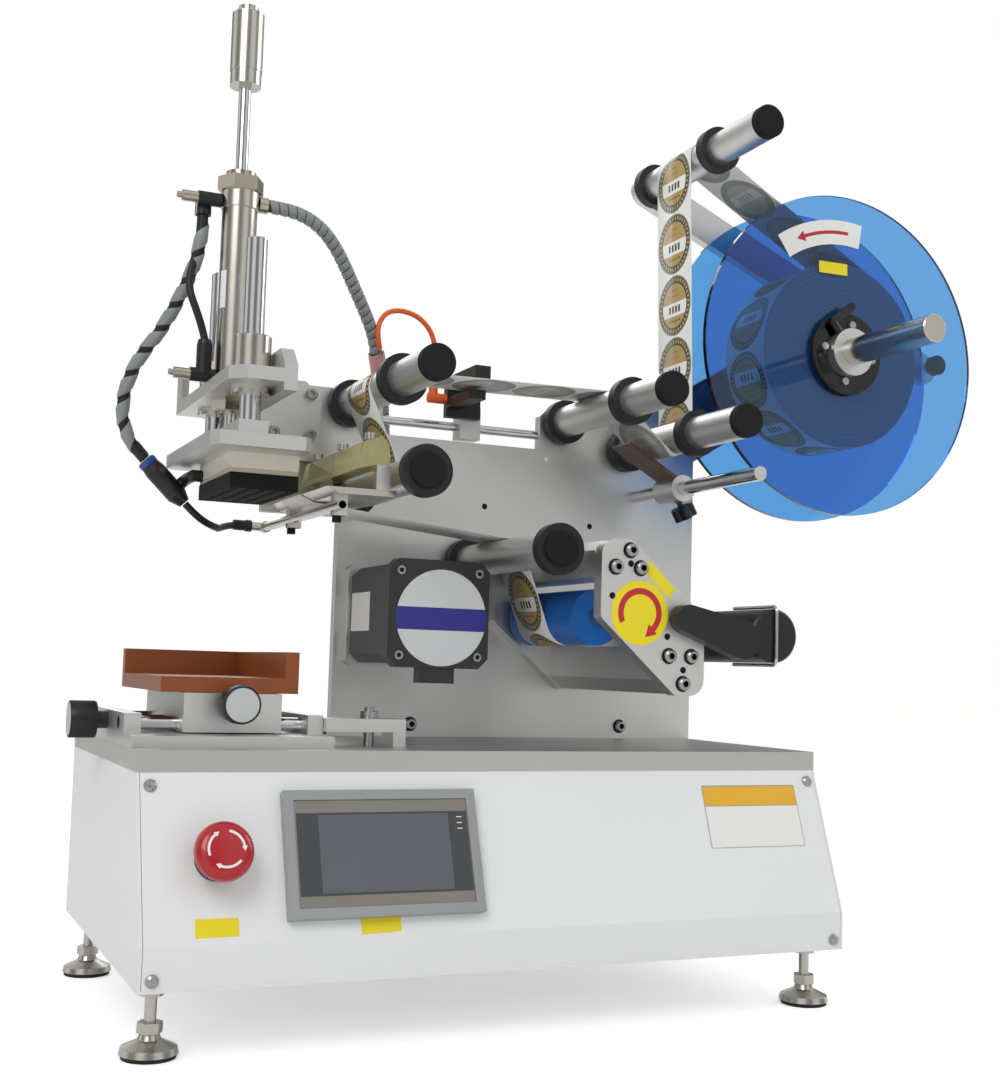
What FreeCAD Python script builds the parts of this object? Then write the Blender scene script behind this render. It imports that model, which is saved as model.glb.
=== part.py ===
import FreeCAD, Part
import math
import os
import re
import Sketcher
from FreeCAD import Placement, Rotation, Vector

# A benchtop machine that presses labels on flat goods.
# X runs to the right, Y to the back and Z up. The origin is on the bench, midway between the feet.
# Every driving size is a cell of the sheet, in millimetres. Places along an axis are signed.
SIZES = {
    # cabinet
    "half_long": 275, "shell_low": 47, "shell_back": 164, "shell_nose": -164, "fold_high": 76,
    "lip_low": 184, "lid_top": 199, "lid_front": -124, "sheet_gauge": 2, "lid_gauge": 3,
    "panel_gap": 0.4, "flange_wide": 18, "seat_gap": 0.02, "skin_gap": 0.3, "run_gap": 0.04,
    "panel_screw_in": 9, "panel_screw_fall": 9, "panel_screw_low": 55,
    "screw_head": 10, "screw_head_high": 5, "screw_shank": 5, "shank_gap": 0.2,
    # levelling feet
    "foot_in": 15, "foot_y": 134, "foot_pad": 39, "foot_pad_high": 12, "foot_stud": 8,
    "foot_nut": 15, "foot_nut_high": 7, "foot_rubber": 3,
    # touch panel and emergency stop, measured down the slope from its top edge
    "touch_in": 97.6, "touch_wide": 142.6, "touch_start": 15, "touch_end": 103,
    "touch_proud": 8, "touch_rim": 7, "touch_deep": 34, "touch_inset": 6, "glass_sunk": 1.2,
    "stop_in": 51.8, "stop_fall": 59.3, "stop_collar": 30, "stop_collar_high": 7,
    "stop_thread": 22, "stop_stem": 16, "stop_head_low": 13.3, "stop_head": 40,
    "stop_head_high": 18, "stop_block": 36, "stop_block_far": 62,
    # upright plate
    "plate_front": 71, "plate_thick": 10, "plate_left": -79, "plate_right": 275, "plate_top": 497,
    "arm_left": -172, "arm_step_x": -146, "arm_step_z": 431, "arm_low": 386,
    "notch_left": -42, "notch_right": 110.5, "notch_low": 461, "plate_chamfer": 5,
    "foot_screw_left": -7, "foot_screw_right": 200, "foot_screw_z": 210, "bracket_wide": 40,
    "bracket_high": 42, "bracket_deep": 44, "bracket_thick": 8, "spare_hole": 5,
    # press head
    "press_x": -192, "press_y": 4, "guide_x": -191, "guide_half": 57.5, "guide_rod": 16,
    "guide_rod_top": 580, "bush_wide": 28, "bush_top": 504.5, "bush_low": 460,
    "bush_flange": 29.2, "bush_flange_high": 5, "deck_left": -215, "deck_right": -176.3,
    "deck_front": -93, "deck_back": 102, "deck_low": 465, "deck_thick": 10, "deck_chamfer": 12,
    "side_thick": 10, "side_low": 459, "side_top": 492.5, "mount_thick": 10,
    "mount_right": -101, "mount_low": 430, "mount_chamfer": 14,
    "barrel_wide": 28, "barrel_top": 618, "cap_wide": 30, "cap_top": 632, "thread_wide": 20,
    "top_nut": 32, "top_nut_top": 643, "ring_wide": 24, "ring_top": 648, "low_nut": 27,
    "low_nut_low": 455, "low_nut_high": 10, "barrel_bore": 22, "barrel_floor": 488,
    "barrel_roof": 612, "piston_low": 596, "piston_thick": 12, "ram_rod": 10,
    "collar_low": 719.5, "collar_wide": 25, "collar_high": 11.5, "stop_cap_wide": 26,
    "stop_cap_top": 780, "tip_nut": 16, "tip_nut_high": 5.4,
    "tie_left": -204.6, "tie_right": -182, "tie_front": -76, "tie_back": 84, "tie_top": 437.5,
    "press_left": -225, "press_right": -148.5, "press_front": -81, "press_back": 89,
    "press_top": 427.5, "press_thick": 10.5, "box_left": -202.7, "box_right": -150,
    "box_front": -49, "box_back": 57, "box_high": 15.5, "box_floor": 3.5, "foam_high": 12,
    # air fittings
    "port_wide": 11, "fit_left": -226, "fit_nut": 9, "fit_nut_left": -238, "fit_end": -242,
    "fit_screw": 5, "fit_top_z": 623.5, "fit_low_z": 482.4, "fit_low_tall": 28,
    "elbow_wide": 13, "elbow_low": 612, "elbow_top": 629, "elbow_y": 12,
    "side_port_right": -170, "side_port_z": 625,
    # peeling edge
    "tip_x": -140.6, "peel_top": 391.1, "peel_low": 386.3, "bevel_x": -130.6, "peel_right": -86,
    "peel_front": -92, "bar_front": -92, "bar_back": 60, "post_left": -102, "post_right": -91,
    "post_thick": 8, "post_top": 410, "bolt_x": -105, "bolt_head": 9, "bolt_top": 435,
    "bolt_in": 10, "bolt_root": 6, "bolt_head_high": 5, "bar_nose": 14.3, "bar_nose_fall": 3.8,
    "bar_brow": 10.4, "bar_brow_high": 16.9, "bar_crest": 3.7, "bar_high": 22, "bar_short": 1.5,
    "bar_back_high": 15.7,
    "blow_x": -128, "blow_z": 378, "blow_wide": 8, "blow_bore": 6, "blow_front": -92,
    "blow_back": 122, "blow_elbow_long": 13,
    "clamp_front": -80, "clamp_rear": 42, "clamp_thick": 9, "clamp_low": 371,
    # guide rollers
    "roller_wide": 28, "roller_bore": 22, "roller_back": 58, "end_cap": 8, "axle_wide": 12,
    "collar_thick": 10, "guide_collar": 40, "bearing_thick": 7,
    "top_roller_x": 222, "top_roller_z": 724, "top_roller_end": -128, "top_roller_collar": -52,
    "feed_roller_x": 200, "feed_roller_z": 467, "feed_roller_end": -135, "feed_roller_collar": -59,
    "sensor_roller_x": 132, "sensor_roller_z": 487, "sensor_roller_end": -131,
    "sensor_roller_collar": -66,
    "bend_roller_x": -73, "bend_roller_z": 483.5, "bend_roller_end": -138,
    "bend_roller_collar": -65,
    "peel_roller_x": -69, "peel_roller_z": 406.1, "peel_roller_end": -116,
    "peel_roller_collar": -113,
    "liner_roller_x": 40, "liner_roller_z": 353.5, "liner_roller_end": -124,
    "liner_roller_collar": -120,
    # label web
    "web_front": -25, "web_wide": 58, "web_thick": 0.4,
    # reel
    "reel_x": 372, "reel_z": 560, "reel_wide": 300, "disc_thick": 5, "rear_disc": 34,
    "front_disc": -27.4, "reel_shaft_wide": 25, "reel_shaft_end": -157.5, "reel_shaft_back": 116,
    "roll_wide": 174, "core_wide": 76, "hub_wide": 72, "hub_thick": 6, "hub_collar": 44,
    "hub_collar_thick": 9.2, "hub_bolt_circle": 54, "hub_screw": 7, "rear_hub": 56,
    "lever_lean": -37, "lever_post": 7, "lever_post_top": 36, "lever_bar": 8, "lever_long": 28,
    "reel_nut": 46, "reel_nut_high": 10, "bearing_flange": 52, "bearing_flange_high": 12,
    # reel arm and top roller bar
    "reel_arm_wide": 65, "reel_arm_back": 91, "arm_foot_x": 230, "arm_foot_z": 472,
    "arm_knee_x": 266, "arm_knee_z": 494, "arm_tip_x": 459, "arm_tip_z": 610,
    "top_bar_wide": 32, "top_bar_tip_x": 552, "top_bar_tip_z": 585, "top_stud": 12,
    "top_stud_front": 56,
    # label sensor
    "rail_y": 76, "rail_z": 474.5, "rail_wide": 8, "carrier_left": 29, "carrier_right": 49,
    "carrier_front": 66, "carrier_back": 82, "carrier_low": 463, "carrier_top": 492,
    "fork_left": 13, "fork_right": 45, "fork_back": 66, "fork_spine": 8, "fork_front": 5,
    "fork_low": 488, "fork_gap_low": 496, "fork_gap_top": 506.6, "fork_top": 517.3,
    "fork_arm": 14, "relief_wide": 9, "relief_long": 12,
    # step motor
    "motor_x": -28, "motor_z": 302, "motor_wide": 86, "motor_chamfer": 8, "motor_front": -42,
    "motor_cap": 14, "motor_flange": 10, "motor_shaft": 14, "motor_shaft_start": 0,
    "motor_waist": 3, "plug_wide": 30, "plug_high": 12,
    # traction unit
    "grip_front": -140, "grip_plate": 12, "grip_left": 65, "grip_right": 157.5,
    "grip_top": 362.5, "grip_low": 243, "grip_knee_z": 301.5, "grip_elbow_z": 304,
    "grip_crown": 91, "grip_heel": 131.5, "grip_round": 13,
    "top_spacer_right": 104, "top_spacer_low": 333, "low_spacer_left": 122,
    "low_spacer_top": 281,
    "drive_x": 98.5, "drive_z": 304, "drive_wide": 46, "drive_shaft": 15, "drive_cover_front": -70,
    "drive_cover_back": 50, "pinch_x": 132.9, "pinch_z": 303, "pinch_core": 9, "pivot_x": 136.4,
    "pivot_z": 302.6, "journal_wide": 18, "knob_thick": 13,
    "handle_tip_x": 186, "handle_tip_z": 288, "handle_root": 11, "handle_end": 15,
    # take-up and drives behind the plate
    "take_x": 232, "take_z": 293, "take_wide": 44, "take_front": -129, "take_flange": 58,
    "take_flange_thick": 12, "take_shaft": 12, "clip_wire": 3, "clip_reach": 60,
    "belt_plane": 92, "belt_wide": 12, "belt_thick": 2, "motor_pulley_wide": 30,
    "drive_pulley_wide": 44, "cord_plane": 108, "cord_pulley_thick": 8, "take_pulley_wide": 40,
    "pulley_rim": 4,
    # web flap
    "flap_x": 213, "flap_z": 424.5, "flap_rod": 12, "flap_rod_end": -133, "flap_collar": 24,
    "flap_front": -14, "flap_back": 20, "leaf_root_x": 207, "leaf_root_z": 435,
    "leaf_tip_x": 159, "leaf_tip_z": 462, "leaf_thick": 3, "star_lean": 151, "star_wide": 22,
    "star_near": 17, "star_thick": 11, "star_screw": 5,
    # table
    "base_left": -275, "base_right": -129, "base_front": -98, "base_back": 100, "base_top": 207,
    "rail_bar": 10, "rail_half": 50, "rail_mid_y": 5, "rail_mid_z": 213.8, "block_left": -263,
    "block_right": -140.7, "block_front": -68, "block_back": 78, "block_top": 221.5,
    "slide_left": -233, "slide_right": -160.5, "slide_front": -66, "slide_back": 74,
    "slide_low": 208, "slide_split": 220.5, "slide_top": 236.5, "feed_screw": 8,
    "cross_screw": 6, "cross_z": 229, "cross_back": 60, "slot_half": 7, "slot_front": -38,
    "slot_back": 44, "slot_floor": 223, "lug_half": 5, "lug_long": 20, "lug_y": 3,
    "knob_wide": 27, "knob_end": -93, "x_knob_end": -303,
    "x_knob_near": -277.5, "tray_left": -249.3, "tray_right": -147.3, "tray_front": -62,
    "tray_back": 98.5, "tray_low": 236.8, "tray_floor": 248, "tray_top": 267.8,
    "tray_wall": 10.3, "held_left": -128.7, "held_right": -65.5, "held_front": -75,
    "held_back": -50, "held_top": 219.6, "held_thick": 10, "held_bolt_x": -91,
    "held_bolt_top": 228,
    # inner gear
    "gear_left": -185, "gear_right": 185, "gear_front": -20, "gear_back": 130, "gear_plate": 3,
    "gear_grid": 5,
    # hoses
    "conduit_wide": 11, "bundle_wide": 11, "hose_wide": 6, "blow_hose_wide": 6,
    "cable_wide": 4.5, "ejector_wide": 17, "gland_wide": 24, "gland_high": 14, "gland_x": -62,
    "gland_y": 110, "gland_gap": 0.5, "gland_lip": 2, "ejector_top_x": -243, "ejector_top_y": 79,
    "ejector_top_z": 422, "ejector_low_x": -210, "ejector_low_y": 76, "ejector_low_z": 388.5,
}

doc = FreeCAD.newDocument("LabelingMachine")
sheet = doc.addObject("Spreadsheet::Sheet", "Sizes")
for row, (alias, size) in enumerate(SIZES.items(), start=1):
    sheet.set(f"A{row}", alias)
    sheet.set(f"B{row}", str(size))
    sheet.setAlias(f"B{row}", alias)
doc.recompute()

# Turns that lay a length along X (or Z) in an object's own frame along each axis of the machine.
FROM_Z = {"x": Rotation(Vector(0, 1, 0), 90), "y": Rotation(Vector(1, 0, 0), -90), "z": Rotation()}
FROM_X = {"x": Rotation(), "y": Rotation(Vector(0, 0, 1), 90), "z": Rotation(Vector(0, 1, 0), -90)}
sub_parts = []


def bind(item, field, text):
    """Binds a property to an expression of cell names."""
    named = re.sub(
        r"[a-z][a-z0-9_]*",
        lambda word: "Sizes." + word.group() if word.group() in SIZES else word.group(),
        str(text),
    )
    item.setExpression(field, named)


def place(item, x=0, y=0, z=0):
    """Binds the place of an object's own origin."""
    for axis, text in zip("xyz", (x, y, z)):
        bind(item, f".Placement.Base.{axis}", text)
    return item


def block(x, y, z):
    """A box between two places along each axis."""
    item = doc.addObject("Part::Box", "block")
    for field, (low, high) in zip(("Length", "Width", "Height"), (x, y, z)):
        bind(item, field, f"({high}) - ({low})")
    return place(item, x[0], y[0], z[0])


def along(item, axis, across, start):
    """Lays an object that stands on its own Z axis along an axis of the machine."""
    item.Placement = Placement(Vector(), FROM_Z[axis])
    spots = list(across)
    spots.insert("xyz".index(axis), start)
    return place(item, *spots)


def rod(axis, across, run, wide):
    """A round bar along an axis, between two places."""
    item = doc.addObject("Part::Cylinder", "rod")
    bind(item, "Radius", f"({wide}) / 2")
    bind(item, "Height", f"({run[1]}) - ({run[0]})")
    return along(item, axis, across, run[0])


def hexagon(axis, across, run, flats):
    """A hexagonal bar along an axis, of a size across flats."""
    item = doc.addObject("Part::Prism", "hexagon")
    item.Polygon = 6
    bind(item, "Circumradius", f"({flats}) / sqrt(3)")
    bind(item, "Height", f"({run[1]}) - ({run[0]})")
    return along(item, axis, across, run[0])


def draw(sketch, points, circles=()):
    """Draws a closed outline and its holes, each place bound to the sheet."""
    count = len(points)
    spread = [2 * math.pi * step / count for step in range(count)]
    spots = [Vector(100 * math.cos(turn), 100 * math.sin(turn), 0) for turn in spread]
    for step in range(count):
        sketch.addGeometry(Part.LineSegment(spots[step], spots[(step + 1) % count]))
    for _ in circles:
        sketch.addGeometry(Part.Circle(Vector(1, 1, 0), Vector(0, 0, 1), 1))
    rules = [Sketcher.Constraint("Coincident", step, 2, (step + 1) % count, 1)
             for step in range(count)]
    texts = []
    spots = [(step, 1, point) for step, point in enumerate(points)]
    spots += [(count + step, 3, circle) for step, circle in enumerate(circles)]
    for line, end, point in spots:
        for kind, other, text in (("DistanceX", -2, point[0]), ("DistanceY", -1, point[1])):
            if text == 0:
                rules.append(Sketcher.Constraint("PointOnObject", line, end, other))
            else:
                texts.append((len(rules), text))
                rules.append(Sketcher.Constraint(kind, -1, 1, line, end, 1.0))
        if end == 3:
            texts.append((len(rules), f"({point[2]}) / 2"))
            rules.append(Sketcher.Constraint("Radius", line, 1.0))
    sketch.addConstraint(rules)
    for rule, text in texts:
        bind(sketch, f"Constraints[{rule}]", text)


def body_with(plane, points, circles=()):
    """A body with one sketch on one of its own origin planes."""
    body = doc.addObject("PartDesign::Body", "body")
    sketch = body.newObject("Sketcher::SketchObject", "outline")
    flat = [item for item in body.Origin.OriginFeatures if item.Role == plane + "_Plane"]
    sketch.AttachmentSupport = [(flat[0], "")]
    sketch.MapMode = "FlatFace"
    draw(sketch, points, circles)
    return body, sketch


def slab(plane, points, run, holes=()):
    """A plate of an outline in one plane, between two places across it."""
    body, sketch = body_with(plane, points, holes)
    pad = body.newObject("PartDesign::Pad", "pad")
    pad.Profile = sketch
    bind(pad, "Length", f"({run[1]}) - ({run[0]})")
    spot = {"XY": (0, 0, run[0]), "XZ": (0, run[1], 0), "YZ": (run[0], 0, 0)}
    return place(body, *spot[plane])


def turned(axis, across, points):
    """A turned piece, from its outline in places along the axis and diameters."""
    halves = [(spot, wide if wide == 0 else f"({wide}) / 2") for spot, wide in points]
    body, sketch = body_with("XY", halves)
    turn = body.newObject("PartDesign::Revolution", "turn")
    turn.Profile = sketch
    turn.ReferenceAxis = (sketch, ["H_Axis"])
    turn.Angle = 360
    body.Placement = Placement(Vector(), FROM_X[axis])
    spots = list(across)
    spots.insert("xyz".index(axis), 0)
    return place(body, *spots)


def ring(axis, across, run, wide, bore):
    """A ring or sleeve."""
    return turned(axis, across, [(run[0], bore), (run[0], wide), (run[1], wide), (run[1], bore)])


def group(*pieces):
    """Separate solids that are handled as one."""
    item = doc.addObject("Part::Compound", "group")
    item.Links = list(pieces)
    return item


def cut(base, *tools):
    """A solid less one or more others."""
    item = doc.addObject("Part::Cut", "cut")
    item.Base = base
    item.Tool = tools[0] if len(tools) == 1 else group(*tools)
    return item


def fuse(*pieces):
    """One solid of several that meet."""
    item = doc.addObject("Part::MultiFuse", "joined")
    item.Shapes = list(pieces)
    item.Refine = True
    return item


def feature(shape):
    """A solid whose outline has arcs, set from the sheet's values."""
    item = doc.addObject("Part::Feature", "formed")
    item.Shape = shape
    return item


def node(label, *pieces):
    """Names a sub-part, which is one piece or a group."""
    item = pieces[0] if len(pieces) == 1 else group(*pieces)
    item.Label = label
    sub_parts.append(item)
    return item


def middle(low, high):
    return f"(({low}) + ({high})) / 2"


SLOPE_RUN = "(lid_front - shell_nose)"
SLOPE_RISE = "(lip_low - fold_high)"
SLOPE_LONG = f"sqrt({SLOPE_RUN} * {SLOPE_RUN} + {SLOPE_RISE} * {SLOPE_RISE})"
PLATE_BACK = "(plate_front + plate_thick)"
FOOT_X = "(half_long - foot_in)"
PANEL_SCREW_X = "(half_long - panel_screw_in)"
STOP_X = "(stop_in - half_long)"
TOUCH_LEFT = "(touch_in - half_long)"
TOUCH_RIGHT = "(touch_in + touch_wide - half_long)"


def on_slope(item):
    """Tips a piece on to the sloping front: its Y runs up the slope and its Z stands out of it."""
    item = group(item)
    item.Placement = Placement(Vector(), Rotation(Vector(1, 0, 0), 60))
    bind(item, ".Placement.Rotation.Angle", f"atan({SLOPE_RISE} / {SLOPE_RUN})")
    return place(item, 0, "lid_front", "lip_low")


def front_line(depth):
    """The folded front's low, fold and top points at a depth behind its outer face."""
    fold = f"fold_high - ({depth}) * ({SLOPE_LONG} - {SLOPE_RISE}) / {SLOPE_RUN}"
    top = f"lid_front + ({depth}) * {SLOPE_LONG} / {SLOPE_RISE}"
    low = ("shell_nose + " + depth, "shell_low + sheet_gauge")
    return [low, (low[0], fold), (top, "lip_low")]


def wire_through(points, radii, closed=False):
    """Straight runs through points, joined by tangent arcs."""
    count = len(points)
    edges = []
    corners = range(count) if closed else range(1, count - 1)
    ends = {}
    arcs = {}
    for step in corners:
        here = points[step]
        back = (here - points[step - 1]).normalize()
        ahead = (points[(step + 1) % count] - here).normalize()
        turn = back.getAngle(ahead)
        radius = radii[step]
        if radius == 0 or turn < 1e-6:
            ends[step] = (here, here)
            continue
        reach = radius * math.tan(turn / 2)
        inward = (ahead - back).normalize()
        first = here - back * reach
        last = here + ahead * reach
        centre = here + inward * (radius / math.cos(turn / 2))
        arcs[step] = Part.Arc(first, centre - inward * radius, last).toShape()
        ends[step] = (first, last)
    if not closed:
        ends[0] = (points[0], points[0])
        ends[count - 1] = (points[-1], points[-1])
    for step in range(count if closed else count - 1):
        after = (step + 1) % count
        if step in arcs:
            edges.append(arcs[step])
        if (ends[after][0] - ends[step][1]).Length > 1e-6:
            edges.append(Part.LineSegment(ends[step][1], ends[after][0]).toShape())
    return Part.Wire(edges)


def rounded_plate(points, radii, low, high):
    """A plate standing across Y whose corners are rounded."""
    spots = [Vector(x, low, z) for x, z in points]
    return Part.Face(wire_through(spots, radii, closed=True)).extrude(Vector(0, high - low, 0))


def barrel(x, z, wide, low, high):
    """A round solid along Y, for shapes set in code."""
    return Part.makeCylinder(wide / 2, high - low, Vector(x, low, z), Vector(0, 1, 0))


def tangents(one, one_half, other, other_half, side=1, crossed=False):
    """Where a straight line touches two circles of the XZ plane, each (x, z) and half width."""
    apart = math.hypot(other[0] - one[0], other[1] - one[1])
    lie = math.atan2(other[1] - one[1], other[0] - one[0])
    far = -other_half if crossed else other_half
    swing = side * math.acos(min(1.0, (one_half - far) / apart))
    way = (math.cos(lie + swing), math.sin(lie + swing))
    near = (one[0] + way[0] * one_half, one[1] + way[1] * one_half)
    end = (other[0] + way[0] * far, other[1] + way[1] * far)
    return near, end


# Cabinet

def build_cabinet():
    shell = slab("YZ", [
        ("shell_nose", "shell_low"), ("shell_nose", "fold_high"), ("lid_front", "lip_low"),
        ("shell_back", "lip_low"), ("shell_back", "shell_low"),
    ], ("-half_long", "half_long"))
    hollow = block(
        ("sheet_gauge - half_long", "half_long - sheet_gauge"),
        ("shell_nose - sheet_gauge", "shell_back - sheet_gauge"),
        ("shell_low + sheet_gauge", "lid_top"),
    )
    studs = [rod("z", (f"{side} * {FOOT_X}", f"{end} * foot_y"), ("0", "lip_low"),
                 "foot_stud + shank_gap") for side in (-1, 1) for end in (-1, 1)]
    outer = front_line("sheet_gauge + seat_gap")
    inner = front_line("2 * sheet_gauge + seat_gap")
    flanges = []
    edge = "half_long - sheet_gauge"
    for run in ((edge + " - flange_wide", edge), ("-(" + edge + ")", "flange_wide - (" + edge + ")")):
        flanges.append(slab("YZ", outer + inner[::-1], run))
    node("cabinet_shell", fuse(cut(shell, hollow, *studs), *flanges))

    panel = slab("YZ", front_line("0 * sheet_gauge") + front_line("sheet_gauge")[::-1],
                 (f"panel_gap - ({edge})", f"{edge} - panel_gap"))
    window = on_slope(block(
        (TOUCH_LEFT + " + touch_inset", TOUCH_RIGHT + " - touch_inset"),
        ("touch_inset - touch_end", "-touch_start - touch_inset"),
        ("-3 * sheet_gauge", "sheet_gauge"),
    ))
    stop_hole = on_slope(rod("z", (STOP_X, "-stop_fall"), ("-3 * sheet_gauge", "sheet_gauge"),
                             "stop_thread + shank_gap"))
    node("front_panel", cut(panel, window, stop_hole))

    lid = block(("-half_long", "half_long"), ("lid_front", "shell_back"), ("lip_low", "lid_top"))
    under = block(
        ("sheet_gauge - half_long", "half_long - sheet_gauge"),
        ("lid_front + sheet_gauge", "shell_back - sheet_gauge"),
        ("lip_low - lid_gauge", "lid_top - lid_gauge"),
    )
    gland_spot = ("gland_x", "gland_y")
    bore = "conduit_wide + 2 * gland_gap"
    gland = turned("z", gland_spot, [
        ("lid_top", bore), ("lid_top", "gland_wide"),
        ("lid_top + gland_high / 2", "gland_wide"),
        ("lid_top + gland_high", f"{bore} + 2 * gland_lip"), ("lid_top + gland_high", bore),
    ])
    gland_hole = rod("z", gland_spot, ("lip_low", "lid_top + gland_high"), bore)
    node("lid_plate", cut(lid, under, gland_hole), gland)

    feet = []
    for side in (-1, 1):
        for end in (-1, 1):
            spot = (f"{side} * {FOOT_X}", f"{end} * foot_y")
            feet.append(turned("z", spot, [
                (0, 0), (0, "foot_pad - 3"), ("foot_rubber", "foot_pad - 2"),
                ("foot_rubber", "foot_pad"), ("foot_pad_high * 0.6", "foot_pad - 2"),
                ("foot_pad_high", "foot_stud * 2"), ("foot_pad_high + 4", "foot_stud * 1.6"),
                ("foot_pad_high + 4", "foot_stud"), ("shell_low + 30", "foot_stud"),
                ("shell_low + 30", 0),
            ]))
            for low, high in (("foot_pad_high + 4", "foot_pad_high + 4 + foot_nut_high"),
                              ("shell_low - foot_nut_high", "shell_low"),
                              ("shell_low + sheet_gauge", "shell_low + sheet_gauge + foot_nut_high")):
                nut = hexagon("z", spot, (low, high), "foot_nut")
                feet.append(cut(nut, rod("z", spot, (low, high), "foot_stud")))
    node("levelling_feet", *feet)

    deep = "-sheet_gauge"
    glass_x = (TOUCH_LEFT + " + touch_rim", TOUCH_RIGHT + " - touch_rim")
    glass_y = ("touch_rim - touch_end", "-touch_start - touch_rim")
    node("touch_panel",
         on_slope(cut(
             block((TOUCH_LEFT, TOUCH_RIGHT), ("-touch_end", "-touch_start"),
                   ("0", "touch_proud")),
             block(glass_x, glass_y, ("touch_proud - 3 * glass_sunk", "touch_proud + 1")))),
         on_slope(block(glass_x, glass_y,
                        ("touch_proud - 3 * glass_sunk", "touch_proud - glass_sunk"))),
         on_slope(block((TOUCH_LEFT + " + touch_inset + 1", TOUCH_RIGHT + " - touch_inset - 1"),
                        ("touch_inset + 1 - touch_end", "-touch_start - touch_inset - 1"),
                        ("-touch_deep", "0"))))

    spot = (STOP_X, "-stop_fall")
    bore = "stop_stem + 2 * run_gap"
    node("stop_base",
         on_slope(turned("z", spot, [
             ("-30", bore), ("-30", "stop_thread"), ("0", "stop_thread"), ("0", "stop_collar"),
             ("stop_collar_high * 0.7", "stop_collar"), ("stop_collar_high", "stop_collar - 3"),
             ("stop_collar_high", bore)])),
         on_slope(block((STOP_X + " - stop_block / 2", STOP_X + " + stop_block / 2"),
                        ("-stop_fall - stop_block / 2", "stop_block / 2 - stop_fall"),
                        ("-stop_block_far", "-30"))),
         on_slope(cut(hexagon("z", spot, (f"{deep} - 6", deep), "stop_thread + 6"),
                      rod("z", spot, (f"{deep} - 6", deep), "stop_thread"))))
    node("stop_stem", on_slope(rod("z", spot, ("-24", "stop_head_low - skin_gap"), "stop_stem")))
    node("stop_head", on_slope(turned("z", spot, [
        ("stop_head_low", 0), ("stop_head_low", "stop_head * 0.6"),
        ("stop_head_low + 4", "stop_head - 2"), ("stop_head_low + 7", "stop_head"),
        ("stop_head_low + 11", "stop_head"), ("stop_head_low + 15", "stop_head - 7"),
        ("stop_head_low + stop_head_high - 1", "stop_head * 0.5"),
        ("stop_head_low + stop_head_high", 0)])))


# Upright plate and what is bolted to it

def round_screw(axis, across, face, way):
    """A screw whose head stands on a face: way is -1 or 1 along the axis."""
    head = f"{face} + {way} * screw_head_high"
    tail = f"{face} - {way} * (screw_head_high + 4)"
    points = [(tail, 0), (tail, "screw_shank"), (face, "screw_shank"), (face, "screw_head"),
              (f"{head} - {way} * 1", "screw_head"), (head, "screw_head - 2"),
              (head, "screw_shank"), (f"{head} - {way} * 3", "screw_shank"),
              (f"{head} - {way} * 3", 0)]
    return turned(axis, across, points)


MOUNT_BOLTS = [("mount_right - 9.5", "plate_top - 10"), ("mount_right - 9.5", "mount_low + 22"),
               ("mount_right - 41", "mount_low + 22")]
FOOT_SCREWS = [("foot_screw_left", "foot_screw_z"), ("foot_screw_right", "foot_screw_z")]
GRIP_SCREWS = [("grip_left + 24.7", "grip_top - 8.6"), ("grip_left + 12.1", "grip_top - 22"),
               ("grip_left + 34", "grip_top - 22"), ("grip_right - 32", "grip_low + 30.6"),
               ("grip_right - 12", "grip_low + 30.6"), ("grip_right - 19", "grip_low + 9.3")]


def build_plate():
    through = ("plate_front", PLATE_BACK)
    bore = "screw_shank + shank_gap"
    holes = [(x, z, bore) for x, z in FOOT_SCREWS + MOUNT_BOLTS]
    holes += [("motor_x", "motor_z", "motor_shaft + 10"), ("drive_x", "drive_z", "drive_shaft + 3"),
              ("take_x", "take_z", "take_shaft + 2 * run_gap"),
              ("57.6", "404.6", "spare_hole"), ("164.2", "393.6", "spare_hole"),
              ("118.6", "notch_low - 9", "spare_hole")]
    node("main_plate", slab("XZ", [
        ("arm_left", "plate_top"), ("arm_left", "arm_step_z"), ("arm_step_x", "arm_step_z"),
        ("arm_step_x", "arm_low"), ("plate_left", "arm_low"), ("plate_left", "lid_top"),
        ("plate_right", "lid_top"), ("plate_right", "plate_top - plate_chamfer"),
        ("plate_right - plate_chamfer", "plate_top"),
        ("notch_right + plate_chamfer", "plate_top"),
        ("notch_right", "plate_top - plate_chamfer"), ("notch_right", "notch_low"),
        ("notch_left", "notch_low"), ("notch_left", "plate_top"),
    ], through, holes))

    brackets = []
    for x, z in FOOT_SCREWS:
        wide = (f"{x} - bracket_wide / 2", f"{x} + bracket_wide / 2")
        angle = slab("YZ", [
            (PLATE_BACK, "lid_top"), (PLATE_BACK, "lid_top + bracket_high"),
            (PLATE_BACK + " + bracket_thick", "lid_top + bracket_high"),
            (PLATE_BACK + " + bracket_thick", "lid_top + bracket_thick * 1.6"),
            (PLATE_BACK + " + bracket_thick * 1.6", "lid_top + bracket_thick"),
            (PLATE_BACK + " + bracket_deep", "lid_top + bracket_thick"),
            (PLATE_BACK + " + bracket_deep", "lid_top"),
        ], wide)
        brackets.append(cut(angle, rod("y", (x, z), through_back(8), bore)))
    node("plate_brackets", *brackets)

    screws = [round_screw("y", spot, "plate_front", -1) for spot in FOOT_SCREWS]
    screws += [round_screw("y", spot, "plate_front - mount_thick", -1) for spot in MOUNT_BOLTS]
    screws += [round_screw("y", spot, "grip_front", -1) for spot in GRIP_SCREWS]
    for side in (-1, 1):
        low = front_screw_low(f"{side} * {PANEL_SCREW_X}")
        high = on_slope(panel_screw_shape(f"{side} * {PANEL_SCREW_X}", "-panel_screw_fall"))
        screws += [low, high]
    node("socket_screws", *screws)


def through_back(deep):
    return (PLATE_BACK, f"{PLATE_BACK} + bracket_thick + {deep}")


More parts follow.
